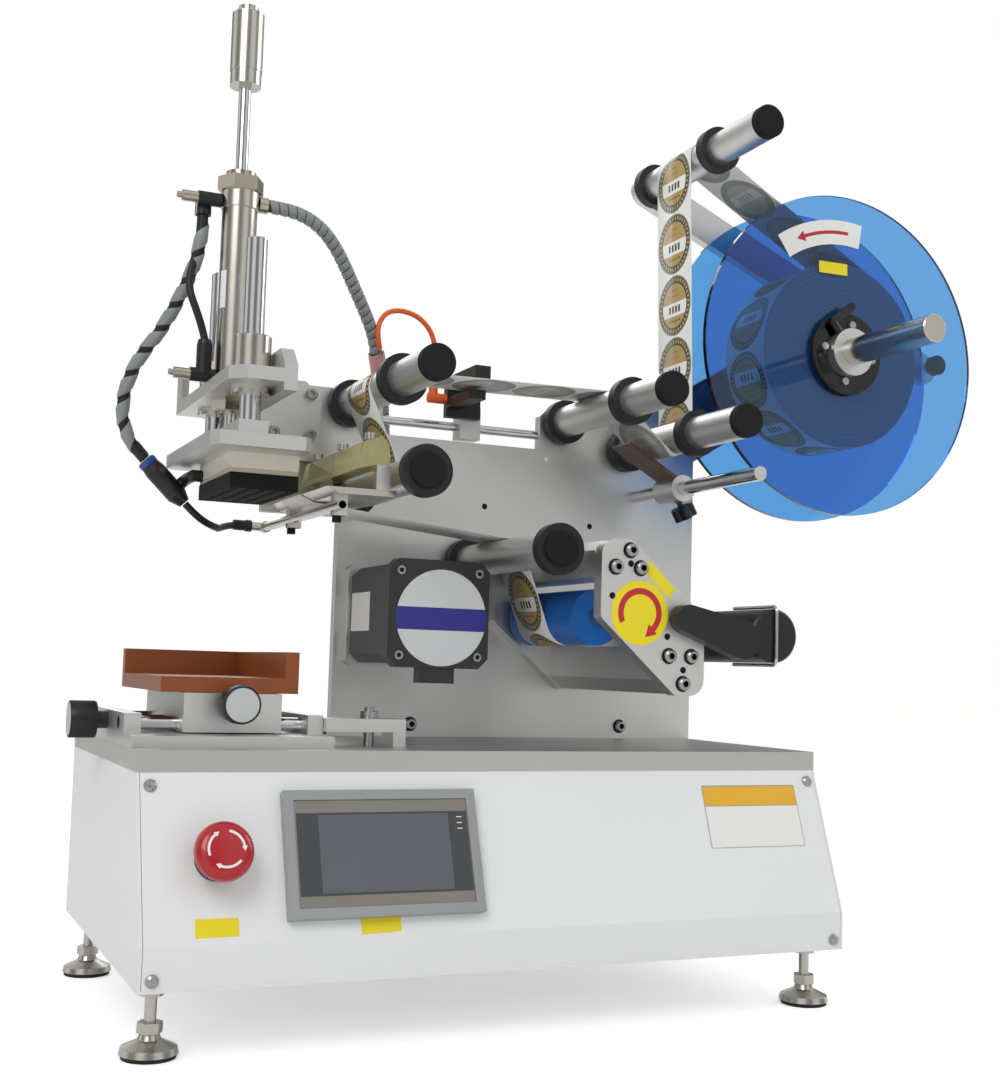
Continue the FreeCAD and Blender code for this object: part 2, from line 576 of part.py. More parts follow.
def panel_screw_shape(x, y):
    """The head of a panel screw, domed, with a cross recess left to its finish."""
    return turned("z", (x, y), [
        ("0", 0), ("0", "screw_head - 1"), ("1.4", "screw_head - 1.6"), ("2.6", "screw_head * 0.5"),
        ("2.9", 0)])


def front_screw_low(x):
    """A panel screw on the upright strip below the fold."""
    return turned("y", (x, "panel_screw_low"), [
        ("shell_nose", 0), ("shell_nose", "screw_head - 1"),
        ("shell_nose - 1.4", "screw_head - 1.6"), ("shell_nose - 2.6", "screw_head * 0.5"),
        ("shell_nose - 2.9", 0)])


# Press head

def build_press_head():
    mount_top = "plate_top + 1"
    face = "plate_front - mount_thick"
    node("head_mount_plate", slab("XZ", [
        ("arm_left", "mount_low"), ("mount_right", "mount_low"),
        ("mount_right", f"{mount_top} - mount_chamfer"),
        ("mount_right - mount_chamfer", mount_top), ("arm_left", mount_top),
    ], (face, "plate_front"), [(x, z, "screw_shank + shank_gap") for x, z in MOUNT_BOLTS]))

    deck_top = "deck_low + deck_thick"
    bores = [("guide_x", f"press_y + {side} * guide_half", "bush_wide") for side in (-1, 1)]
    bores.append(("press_x", "press_y", "thread_wide"))
    deck = slab("XY", [
        ("deck_left + deck_chamfer", "deck_front"), ("deck_right", "deck_front"),
        ("deck_right", "deck_back"), ("deck_left", "deck_back"),
        ("deck_left", "deck_front + deck_chamfer"),
    ], ("deck_low", deck_top), bores)
    side = slab("YZ", [
        ("deck_front", "side_low"), (face, "side_low"), (face, "side_top"),
        ("deck_front + 14", "side_top"), ("deck_front", "side_top - 14"),
    ], ("deck_right", "deck_right + side_thick"))
    tab = block(("deck_left", "deck_left + 6"), ("deck_back - 18", "deck_back"),
                (deck_top, f"{deck_top} + 24"))
    pieces = [deck, side, tab]
    bore = "guide_rod + 2 * run_gap"
    for end in (-1, 1):
        spot = ("guide_x", f"press_y + {end} * guide_half")
        pieces.append(turned("z", spot, [
            ("bush_low", bore), ("bush_low", "bush_flange"),
            ("bush_low + bush_flange_high", "bush_flange"),
            ("bush_low + bush_flange_high", "bush_wide - seat_gap"),
            ("bush_top - 1", "bush_wide - seat_gap"), ("bush_top", "bush_wide - 2"),
            ("bush_top", bore)]))
    node("head_bracket", *pieces)

    spot = ("press_x", "press_y")
    bore = "ram_rod + 2 * run_gap"
    thread = "thread_wide - seat_gap"
    node("air_cylinder",
         turned("z", spot, [
             ("low_nut_low - 2", bore), ("low_nut_low - 2", thread), (deck_top, thread),
             (deck_top, "barrel_wide"), ("barrel_top", "barrel_wide"), ("barrel_top", "cap_wide"),
             ("cap_top", "cap_wide"), ("cap_top", thread), ("ring_top", thread),
             ("ring_top", bore), ("barrel_roof", bore), ("barrel_roof", "barrel_bore"),
             ("barrel_floor", "barrel_bore"), ("barrel_floor", bore)]),
         cut(hexagon("z", spot, ("low_nut_low", "low_nut_low + low_nut_high"), "low_nut"),
             rod("z", spot, ("low_nut_low", "low_nut_low + low_nut_high"), "thread_wide")),
         cut(hexagon("z", spot, ("cap_top", "top_nut_top"), "top_nut"),
             rod("z", spot, ("cap_top", "top_nut_top"), "thread_wide")),
         ring("z", spot, ("top_nut_top", "ring_top"), "ring_wide", "thread_wide"))

    pieces = [turned("z", spot, [
        ("tie_top", 0), ("tie_top", "ram_rod"), ("piston_low", "ram_rod"),
        ("piston_low", "barrel_bore - 4 * run_gap"),
        ("piston_low + piston_thick", "barrel_bore - 4 * run_gap"),
        ("piston_low + piston_thick", "ram_rod"), ("collar_low", "ram_rod"),
        ("collar_low", "collar_wide"), ("collar_low + collar_high", "collar_wide"),
        ("collar_low + collar_high", "stop_cap_wide"), ("stop_cap_top - 1", "stop_cap_wide"),
        ("stop_cap_top", "stop_cap_wide - 2"), ("stop_cap_top", "tip_nut"),
        ("stop_cap_top + tip_nut_high", "tip_nut"), ("stop_cap_top + tip_nut_high", 0)])]
    for end in (-1, 1):
        pieces.append(turned("z", ("guide_x", f"press_y + {end} * guide_half"), [
            ("tie_top", 0), ("tie_top", "guide_rod"), ("guide_rod_top - 1", "guide_rod"),
            ("guide_rod_top", "guide_rod - 2"), ("guide_rod_top", 0)]))
    node("head_rods", *pieces)

    press_low = "press_top - press_thick"
    box_low = f"{press_low} - box_high"
    box_split = f"{box_low} + box_floor"
    node("press_plates",
         block(("tie_left", "tie_right"), ("tie_front", "tie_back"), ("press_top", "tie_top")),
         slab("XY", [
             ("press_left + 6", "press_front"), ("press_right - 6", "press_front"),
             ("press_right", "press_front + 6"), ("press_right", "press_back - 6"),
             ("press_right - 6", "press_back"), ("press_left + 6", "press_back"),
             ("press_left", "press_back - 6"), ("press_left", "press_front + 6"),
         ], (press_low, "press_top")))
    box_x = ("box_left", "box_right")
    box_y = ("box_front", "box_back")
    node("vacuum_box", block(box_x, box_y, (box_split, press_low)),
         block(("box_left + 0.5", "box_right - 0.5"), ("box_front + 0.5", "box_back - 0.5"),
               (box_low, box_split)))
    node("foam_pad", block(box_x, box_y, (f"{box_low} - foam_high", box_low)))

    fittings = []
    for z, start in (("fit_top_z", "press_x - cap_wide / 2"),
                     ("fit_low_z", "press_x - barrel_wide / 2")):
        fittings.append(turned("x", ("press_y", z), [
            (start, 0), (start, "port_wide"), ("fit_left", "port_wide"), ("fit_left", "fit_nut"),
            ("fit_nut_left", "fit_nut"), ("fit_nut_left", "fit_screw"), ("fit_end", "fit_screw"),
            ("fit_end", 0)]))
    across = ("fit_left + elbow_wide / 2", "elbow_y")
    fittings[0] = cut(fittings[0], rod("z", across, ("elbow_low", "elbow_top"), "elbow_wide"))
    fittings.append(rod("z", across, ("elbow_low", "elbow_top"), "elbow_wide"))
    across = ("fit_left + port_wide", "press_y")
    half = "port_wide / 2"
    fittings.append(cut(
        turned("z", across, [
            ("fit_low_z", 0), ("fit_low_z", "port_wide + 1"),
            ("fit_low_z + fit_low_tall - 4", "port_wide + 1"),
            ("fit_low_z + fit_low_tall", "port_wide - 1"), ("fit_low_z + fit_low_tall", 0)]),
        rod("x", ("press_y", "fit_low_z"), ("fit_left", "press_x"), "port_wide")))
    fittings.append(turned("x", ("press_y", "side_port_z"), [
        ("press_x + cap_wide / 2", 0), ("press_x + cap_wide / 2", "port_wide + 2"),
        ("side_port_right", "port_wide + 2"), ("side_port_right", 0)]))
    node("air_fittings", *fittings)


# Peeling edge

def build_peeling():
    node("peel_plate", slab("XZ", [
        ("tip_x", "peel_top"), ("peel_right", "peel_top"), ("peel_right", "peel_low"),
        ("bevel_x", "peel_low")], ("peel_front", "plate_front")))

    bar = slab("XZ", [
        ("post_left - bar_nose", "post_top - bar_nose_fall"),
        ("post_left - bar_brow", "post_top + bar_brow_high"),
        ("post_left + bar_crest", "post_top + bar_high"),
        ("post_right - bar_short", "post_top + bar_back_high"),
        ("post_right - bar_short", "post_top"), ("post_left", "post_top"),
    ], ("bar_front", "bar_back"))
    pieces = []
    bolts = []
    root = "post_top + bolt_root"
    head = "bolt_top - bolt_head_high"
    for spot in ("bar_front + bolt_in", middle("bar_front", "bar_back"), "bar_back - bolt_in"):
        bolts.append(rod("z", ("bolt_x", spot), (root, head), "screw_shank"))
        pieces.append(turned("z", ("bolt_x", spot), [
            (root, 0), (root, "screw_shank"), (head, "screw_shank"), (head, "bolt_head"),
            ("bolt_top", "bolt_head"), ("bolt_top", 0)]))
        bolts.append(rod("z", ("bolt_x", spot), (head, "bolt_top + bolt_root"), "bolt_head"))
    posts = []
    for low, high in (("bar_front", "bar_front + post_thick"),
                      ("bar_back - post_thick", "bar_back")):
        posts.append(block(("post_left", "post_right"), (low, high), ("peel_top", "post_top")))
    node("presser_bar", cut(bar, *bolts), *pieces, *posts)

    clamps = []
    spot = ("blow_x", "blow_z")
    for low in ("clamp_front", "clamp_rear"):
        run = (low, f"{low} + clamp_thick")
        clamp = block(("bevel_x", "blow_x + blow_wide"), run, ("clamp_low", "peel_low"))
        clamps.append(cut(clamp, rod("y", spot, run, "blow_wide")))
        across = ("blow_x + 1", f"{low} + clamp_thick / 2")
        clamps.append(turned("z", across, [
            ("clamp_low - 5", 0), ("clamp_low - 5", "bolt_head - 2"),
            ("clamp_low", "bolt_head - 2"), ("clamp_low", 0)]))
    elbow_end = "blow_back + blow_wide"
    side_run = ("blow_x - blow_elbow_long", "blow_x")
    elbow = fuse(rod("y", spot, ("blow_back", elbow_end), "blow_wide + 2"),
                 rod("x", ("blow_back + blow_wide / 2", "blow_z"), side_run, "blow_wide"))
    node("blow_tube", ring("y", spot, ("blow_front", "blow_back"), "blow_wide", "blow_bore"), elbow,
         *clamps)


# Guide rollers and other round things on the plate

ROLLERS = ("top_roller", "feed_roller", "sensor_roller", "bend_roller", "peel_roller",
           "liner_roller")


def build_rollers():
    rods = []
    bore = "axle_wide + 2 * run_gap"
    for name in ROLLERS:
        spot = (f"{name}_x", f"{name}_z")
        end = f"{name}_end"
        tube = f"{end} + end_cap"
        rods.append(rod("y", spot, (f"{tube} + 3", "plate_front"), "axle_wide"))
        pieces = [ring("y", spot, (tube, "roller_back"), "roller_wide", "roller_bore")]
        pieces.append(turned("y", spot, [
            (end, 0), (end, "roller_wide - 2"), (f"{end} + 1", "roller_wide"),
            (tube, "roller_wide"), (tube, 0)]))
        for start in (f"{tube} + 4", "roller_back - bearing_thick"):
            run = (start, f"{start} + bearing_thick")
            pieces.append(ring("y", spot, run, "roller_bore - seat_gap", bore))
        for start in (f"{name}_collar", "roller_back"):
            run = (start, f"{start} + collar_thick")
            inner = "roller_wide + seat_gap" if start != "roller_back" else "roller_bore"
            pieces.append(ring("y", spot, run, "guide_collar", inner))
        node(name, *pieces)
    rods.append(rod("y", ("flap_x", "flap_z"), ("flap_rod_end", "plate_front"), "flap_rod"))
    rods.append(rod("x", ("rail_y", "rail_z"), ("notch_left", "notch_right"), "rail_wide"))
    node("axles_and_rods", *rods)


# Reel

def build_reel():
    spot = ("reel_x", "reel_z")
    hub_front = "front_disc - disc_thick - hub_thick"
    collar_front = f"{hub_front} - hub_collar_thick"
    shaft = turned("y", spot, [
        ("reel_shaft_end", 0), ("reel_shaft_end", "reel_shaft_wide - 2"),
        ("reel_shaft_end + 1", "reel_shaft_wide"), ("front_disc + skin_gap", "reel_shaft_wide"),
        ("front_disc + skin_gap", "core_wide - 1"), ("rear_disc", "core_wide - 1"),
        ("rear_disc", "reel_shaft_wide"), ("reel_shaft_back", "reel_shaft_wide"),
        ("reel_shaft_back", 0)])
    disc_back = "rear_disc + disc_thick"
    disc = ring("y", spot, ("rear_disc", disc_back), "reel_wide", "reel_shaft_wide")
    hub = ring("y", spot, (disc_back, f"{disc_back} + hub_thick"), "hub_wide", "reel_shaft_wide")
    sleeve = ring("y", spot, (f"{disc_back} + hub_thick", "plate_front - 6"), "rear_hub",
                  "reel_shaft_wide")
    nut_low = "reel_arm_back + bearing_flange_high + skin_gap"
    back_nut = cut(hexagon("y", spot, (nut_low, f"{nut_low} + reel_nut_high"), "reel_nut"),
                   rod("y", spot, (nut_low, f"{nut_low} + reel_nut_high"), "reel_shaft_wide"))
    node("reel_shaft", shaft, disc, hub, sleeve, back_nut)
    node("label_roll", ring("y", spot, ("front_disc + skin_gap", "rear_disc - skin_gap"), "roll_wide",
                            "core_wide"))

    bore = "reel_shaft_wide + 2 * run_gap"
    pieces = [
        ring("y", spot, ("front_disc - disc_thick", "front_disc"), "reel_wide", bore),
        ring("y", spot, (hub_front, "front_disc - disc_thick"), "hub_wide", bore),
        ring("y", spot, (collar_front, hub_front), "hub_collar", bore),
    ]
    for turn in range(4):
        lean = f"({135 + 90 * turn} - lever_lean)"
        across = (f"reel_x + hub_bolt_circle / 2 * cos({lean} * 1 deg)",
                  f"reel_z + hub_bolt_circle / 2 * sin({lean} * 1 deg)")
        pieces.append(rod("y", across, (f"{hub_front} - 3", hub_front), "hub_screw"))
    node("front_disc", *pieces)

    lever = fuse(
        rod("z", ("0", "0"), ("hub_collar / 2 + skin_gap", "lever_post_top"), "lever_post"),
        rod("x", ("0", "lever_post_top - 2"), ("-lever_bar / 4", "lever_long"), "lever_bar"))
    lever.Placement = Placement(Vector(), Rotation(Vector(0, 1, 0), 1))
    bind(lever, ".Placement.Rotation.Angle", "lever_lean + 0")
    node("clamp_lever", place(lever, "reel_x", f"{hub_front} - hub_collar_thick / 2", "reel_z"))


def build_arms():
    """The reel arm is a bent flat bar; the upper bar is a straight one with a stud."""
    half = sheet.reel_arm_wide / 2
    line = [(sheet.arm_foot_x, sheet.arm_foot_z), (sheet.arm_knee_x, sheet.arm_knee_z),
            (sheet.arm_tip_x, sheet.arm_tip_z)]
    low = sheet.plate_front + sheet.plate_thick
    shape = bar_along(line, half, low, sheet.reel_arm_back)
    bearing = barrel(sheet.reel_x, sheet.reel_z, sheet.reel_shaft_wide + 2 * sheet.run_gap,
                     low - 20, sheet.reel_arm_back + 40)
    flange_low = sheet.reel_arm_back
    flange = barrel(sheet.reel_x, sheet.reel_z, sheet.bearing_flange, flange_low,
                    flange_low + sheet.bearing_flange_high)
    nose = barrel(sheet.reel_x, sheet.reel_z, sheet.bearing_flange, low - 4, low)
    node("reel_arm", feature(shape.cut(bearing)),
         feature(flange.cut(bearing)), feature(nose.cut(bearing)))

    line = [(sheet.top_roller_x, sheet.top_roller_z), (sheet.top_bar_tip_x, sheet.top_bar_tip_z)]
    bar = bar_along(line, sheet.top_bar_wide / 2, sheet.plate_front, low)
    stud = barrel(sheet.top_bar_tip_x, sheet.top_bar_tip_z, sheet.top_stud, sheet.top_stud_front,
                  sheet.plate_front)
    collar = barrel(sheet.top_bar_tip_x, sheet.top_bar_tip_z, sheet.top_stud + 8,
                    sheet.top_stud_front - 8, sheet.top_stud_front)
    node("top_bar", feature(bar), feature(stud), feature(collar))


def bar_along(line, half, low, high):
    """A flat bar with round ends along a line of points in the XZ plane."""
    shape = None
    for start, end in zip(line, line[1:]):
        apart = math.hypot(end[0] - start[0], end[1] - start[1])
        side = (-(end[1] - start[1]) / apart * half, (end[0] - start[0]) / apart * half)
        points = [(start[0] + side[0], start[1] + side[1]), (end[0] + side[0], end[1] + side[1]),
                  (end[0] - side[0], end[1] - side[1]), (start[0] - side[0], start[1] - side[1])]
        piece = rounded_plate(points, [0] * 4, low, high)
        for x, z in (start, end):
            piece = piece.fuse(barrel(x, z, 2 * half, low, high))
        shape = piece if shape is None else shape.fuse(piece)
    return shape.removeSplitter()


# Label sensor

def build_sensor():
    carrier = block(("carrier_left", "carrier_right"), ("carrier_front", "carrier_back"),
                    ("carrier_low", "carrier_top"))
    hole = rod("x", ("rail_y", "rail_z"), ("carrier_left", "carrier_right"),
               "rail_wide + 2 * run_gap")
    spine_front = "fork_back - fork_spine"
    spine = block(("fork_left", "fork_right"), (spine_front, "fork_back"),
                  ("fork_low - 8", "fork_top"))
    arms = []
    for left, low, high in (("fork_left", "fork_low", "fork_gap_low"),
                            ("fork_left + 4", "fork_gap_top", "fork_top")):
        arms.append(block((left, f"{left} + fork_arm"), ("fork_front", spine_front), (low, high)))
    across = ("fork_back - 4", "fork_gap_low")
    plug = rod("x", across, ("fork_left - relief_long - relief_wide / 2", "fork_left"), "relief_wide")
    across = ("fork_left - relief_long", "fork_back - 4")
    relief = rod("z", across, ("fork_gap_low", "fork_gap_low + relief_long"), "relief_wide - 1")
    node("label_sensor", cut(carrier, hole), fuse(spine, *arms), fuse(plug, relief))


# Step motor

def build_motor():
    half = "motor_wide / 2"
    low = f"{half} - motor_chamfer"

    def square(size, chamfer):
        """Eight corners of a chamfered square round the motor's centre."""
        corners = []
        for x, z in ((1, 1), (-1, 1), (-1, -1), (1, -1)):
            pair = [(f"motor_x + {x} * ({size})", f"motor_z + {z} * (({size}) - ({chamfer}))"),
                    (f"motor_x + {x} * (({size}) - ({chamfer}))", f"motor_z + {z} * ({size})")]
            corners += pair if x * z > 0 else pair[::-1]
        return corners

    hole = [("motor_x", "motor_z", "motor_shaft + 2 * run_gap")]
    flange_front = "plate_front - motor_flange"
    cap_back = "motor_front + motor_cap"
    pieces = [
        slab("XZ", square(half, "motor_chamfer / 2"), (flange_front, "plate_front"), hole),
        slab("XZ", square(f"{half} - motor_waist", "motor_chamfer"), ("motor_shaft_start",
                                                                    flange_front), hole),
        slab("XZ", square(f"{half} - motor_waist", "motor_chamfer"),
             (cap_back, "motor_shaft_start")),
        slab("XZ", square(half, "motor_chamfer"), ("motor_front", cap_back)),
        block(("motor_x - plug_wide / 2", "motor_x + plug_wide / 2"),
              ("motor_front + 2", cap_back),
              (f"motor_z - {half} - plug_high", f"motor_z - {half}")),
    ]
    node("step_motor", *pieces)
    spot = ("motor_x", "motor_z")
    belt_end = "belt_plane + belt_wide"
    node("motor_pulley", turned("y", spot, [
        ("motor_shaft_start + skin_gap", 0), ("motor_shaft_start + skin_gap", "motor_shaft"),
        ("belt_plane - pulley_rim", "motor_shaft"),
        ("belt_plane - pulley_rim", "motor_pulley_wide + 6"),
        ("belt_plane - 1", "motor_pulley_wide + 6"), ("belt_plane - 1", "motor_pulley_wide"),
        (f"{belt_end} + 1", "motor_pulley_wide"), (f"{belt_end} + 1", "motor_pulley_wide + 6"),
        (f"{belt_end} + pulley_rim", "motor_pulley_wide + 6"),
        (f"{belt_end} + pulley_rim", 0)]))


# Traction unit, take-up and the drives behind the plate

def build_traction():
    corners = [(sheet.grip_left, sheet.grip_knee_z), (sheet.grip_left, sheet.grip_top),
               (sheet.grip_crown, sheet.grip_top), (sheet.grip_right, sheet.grip_elbow_z),
               (sheet.grip_right, sheet.grip_low), (sheet.grip_heel, sheet.grip_low)]
    small = sheet.grip_round / 2
    radii = [small, sheet.grip_round, small, small, sheet.grip_round, small]
    journal = sheet.journal_wide + 2 * sheet.run_gap
    shaft = sheet.drive_shaft + 2 * sheet.run_gap
    plates = []
    rear = sheet.plate_front - sheet.grip_plate
    for low in (sheet.grip_front, rear):
        high = low + sheet.grip_plate
        plate = rounded_plate(corners, radii, low, high)
        plate = plate.cut(barrel(sheet.drive_x, sheet.drive_z, shaft, low - 1, high + 1))
        plate = plate.cut(barrel(sheet.pivot_x, sheet.pivot_z, journal, low - 1, high + 1))
        plates.append(feature(plate))
    bore = "screw_shank + shank_gap"
    holes = [rod("y", spot, ("grip_front", "grip_front + screw_head_high + 5"), bore)
             for spot in GRIP_SCREWS]
    plates[0] = cut(plates[0], *holes)
    run = ("grip_front + grip_plate", "plate_front - grip_plate")
    spacers = [
        slab("XZ", [("grip_left", "top_spacer_low"), ("top_spacer_right", "top_spacer_low"),
                    ("top_spacer_right", "top_spacer_low + 10"),
                    ("grip_crown - 2", "grip_top - 1"), ("grip_left + 8", "grip_top - 1"),
                    ("grip_left", "grip_top - 9")], run),
        slab("XZ", [("low_spacer_left", "low_spacer_top"), ("grip_right", "low_spacer_top"),
                    ("grip_right", "grip_low + 9"), ("grip_right - 8", "grip_low + 1"),
                    ("grip_heel + 2", "grip_low + 1"), ("low_spacer_left", "grip_low + 12")], run),
    ]
    node("traction_frame", *plates, *spacers)

    spot = ("drive_x", "drive_z")
    belt_end = "belt_plane + belt_wide"
    cord_low = "cord_plane"
    cord_high = "cord_plane + cord_pulley_thick"
    shaft_end = "grip_front + 2"
    node("drive_roller",
         turned("y", spot, [
             (shaft_end, 0), (shaft_end, "drive_shaft"), ("belt_plane - pulley_rim", "drive_shaft"),
             ("belt_plane - pulley_rim", "drive_pulley_wide + 6"),
             ("belt_plane - 1", "drive_pulley_wide + 6"), ("belt_plane - 1", "drive_pulley_wide"),
             (f"{belt_end} + 1", "drive_pulley_wide"), (cord_low, "take_pulley_wide"),
             (cord_high, "take_pulley_wide"), (cord_high, "take_pulley_wide + 6"),
             (f"{cord_high} + 2", "take_pulley_wide + 6"), (f"{cord_high} + 2", 0)]),
         ring("y", spot, ("drive_cover_front", "drive_cover_back"), "drive_wide", "drive_shaft"))

    nip = "(sqrt((pinch_x - drive_x) * (pinch_x - drive_x) + (pinch_z - drive_z) * (pinch_z - drive_z))"
    pinch = f"2 * ({nip} - drive_wide / 2 - web_thick - 2 * skin_gap))"
    node("pinch_roller", ring("y", ("pinch_x", "pinch_z"), ("drive_cover_front", "drive_cover_back"),
                              pinch, "pinch_core + 2 * run_gap"))

    pivot = ("pivot_x", "pivot_z")
    front = "grip_front - skin_gap"
    inner = ("grip_front + grip_plate", "plate_front - grip_plate")
    core = rod("y", ("pinch_x", "pinch_z"), inner, "pinch_core")
    journals = [rod("y", pivot, (front, inner[0]), "journal_wide"),
                rod("y", pivot, (inner[1], "plate_front - skin_gap"), "journal_wide")]
    root, tip = tangents((sheet.pivot_x, sheet.pivot_z), sheet.handle_root,
                         (sheet.handle_tip_x, sheet.handle_tip_z), sheet.handle_end)
    low_root, low_tip = tangents((sheet.pivot_x, sheet.pivot_z), sheet.handle_root,
                                 (sheet.handle_tip_x, sheet.handle_tip_z), sheet.handle_end, -1)
    face = sheet.grip_front - sheet.skin_gap
    thick_low = face - sheet.knob_thick
    handle = rounded_plate([root, tip, low_tip, low_root], [0] * 4, thick_low, face)
    handle = handle.fuse(barrel(sheet.pivot_x, sheet.pivot_z, 2 * sheet.handle_root, thick_low, face))
    handle = handle.fuse(barrel(sheet.handle_tip_x, sheet.handle_tip_z, 2 * sheet.handle_end,
                                thick_low, face))
    node("pinch_lever", fuse(core, *journals), feature(handle.removeSplitter()))

    spot = ("take_x", "take_z")
    shaft = turned("y", spot, [
        ("take_front", 0), ("take_front", "take_wide - 4"), ("take_front + 2", "take_wide"),
        ("plate_front - skin_gap - take_flange_thick", "take_wide"),
        ("plate_front - skin_gap - take_flange_thick", "take_flange"),
        ("plate_front - skin_gap", "take_flange"), ("plate_front - skin_gap", "take_shaft"),
        (cord_low, "take_shaft"), (cord_low, "take_pulley_wide"),
        (cord_high, "take_pulley_wide"), (cord_high, "take_pulley_wide + 6"),
        (f"{cord_high} + 2", "take_pulley_wide + 6"), (f"{cord_high} + 2", 0)])
    node("take_up_shaft", shaft, feature(clip_wire()))
    node("drive_belts", feature(belts()))


def clip_wire():
    """The U of wire that is sprung over the end of the take-up shaft."""
    gap = sheet.clip_wire / 2 + sheet.skin_gap
    side = sheet.take_wide / 2 + gap
    front = sheet.take_front - gap
    back = sheet.take_front + sheet.clip_reach
    x, z = sheet.take_x, sheet.take_z
    points = [Vector(x, back, z + side), Vector(x, front, z + side), Vector(x, front, z - side),
              Vector(x, back, z - side)]
    path = wire_through(points, [0, 5, 5, 0])
    return swept(path, points[0], points[1] - points[0], sheet.clip_wire)


def swept(path, start, way, wide):
    """A round solid along a path."""
    rim = Part.Wire(Part.Circle(start, way, wide / 2).toShape())
    return path.makePipeShell([rim], True, False)


def belts():
    """The toothed belt to the traction roller and the round belt to the take-up shaft."""
    motor = (sheet.motor_x, sheet.motor_z)
    drive = (sheet.drive_x, sheet.drive_z)
    take = (sheet.take_x, sheet.take_z)
    toothed = loop(motor, sheet.motor_pulley_wide / 2, drive, sheet.drive_pulley_wide / 2,
                   sheet.belt_plane, sheet.belt_plane + sheet.belt_wide, sheet.belt_thick)
    low = sheet.cord_plane + sheet.cord_pulley_thick / 4
    plain = loop(drive, sheet.take_pulley_wide / 2, take, sheet.take_pulley_wide / 2,
                 low, low + sheet.cord_pulley_thick / 2, sheet.belt_thick * 2)
    return Part.makeCompound([toothed, plain])


def loop(one, one_half, other, other_half, low, high, thick):
    """A belt round two pulleys."""
    def disc(extra):
        first = tangents(one, one_half + extra, other, other_half + extra)
        second = tangents(one, one_half + extra, other, other_half + extra, -1)
        shape = rounded_plate([first[0], first[1], second[1], second[0]], [0] * 4, low, high)
        for spot, half in ((one, one_half + extra), (other, other_half + extra)):
            shape = shape.fuse(barrel(spot[0], spot[1], 2 * half, low, high))
        return shape.removeSplitter()

    return disc(sheet.skin_gap + thick).cut(disc(sheet.skin_gap))


# Web flap

def build_flap():
    spot = ("flap_x", "flap_z")
    collar = ring("y", spot, ("flap_front", "flap_back"), "flap_collar", "flap_rod + 2 * run_gap")
    root = (sheet.leaf_root_x, sheet.leaf_root_z)
    tip = (sheet.leaf_tip_x, sheet.leaf_tip_z)
    apart = math.hypot(tip[0] - root[0], tip[1] - root[1])
    side = (-(tip[1] - root[1]) / apart * sheet.leaf_thick, (tip[0] - root[0]) / apart * sheet.leaf_thick)
    points = [root, tip, (tip[0] + side[0], tip[1] + side[1]), (root[0] + side[0], root[1] + side[1])]
    leaf = rounded_plate(points, [0] * 4, sheet.flap_front + 1, sheet.flap_back - 1)
    ring_hole = barrel(sheet.flap_x, sheet.flap_z, sheet.flap_collar, sheet.flap_front,
                       sheet.flap_back)
    screw_hole = rod("z", ("0", "0"), ("flap_rod / 2", "flap_collar"), "star_screw + 2 * run_gap")
    node("web_flap", cut(collar, star_placed(screw_hole)), feature(leaf.cut(ring_hole)))

    knob = rod("z", ("0", "0"), ("star_near", "star_near + star_thick"), "star_wide * 0.62")
    lobes = []
    for turn in range(5):
        across = (f"star_wide * 0.3 * cos({72 * turn} deg)", f"star_wide * 0.3 * sin({72 * turn} deg)")
        lobes.append(rod("z", across, ("star_near", "star_near + star_thick"), "star_wide * 0.4"))
    screw = rod("z", ("0", "0"), ("flap_rod / 2 + skin_gap", "star_near"), "star_screw")
    node("flap_knob", star_placed(fuse(knob, screw, *lobes)))


def star_placed(item):
    """Leans a radial screw of the flap collar to its side."""
    item = group(item)
    item.Placement = Placement(Vector(), Rotation(Vector(0, 1, 0), 1))
    bind(item, ".Placement.Rotation.Angle", "star_lean + 0")
    return place(item, "flap_x", middle("flap_front", "flap_back"), "flap_z")


# Table

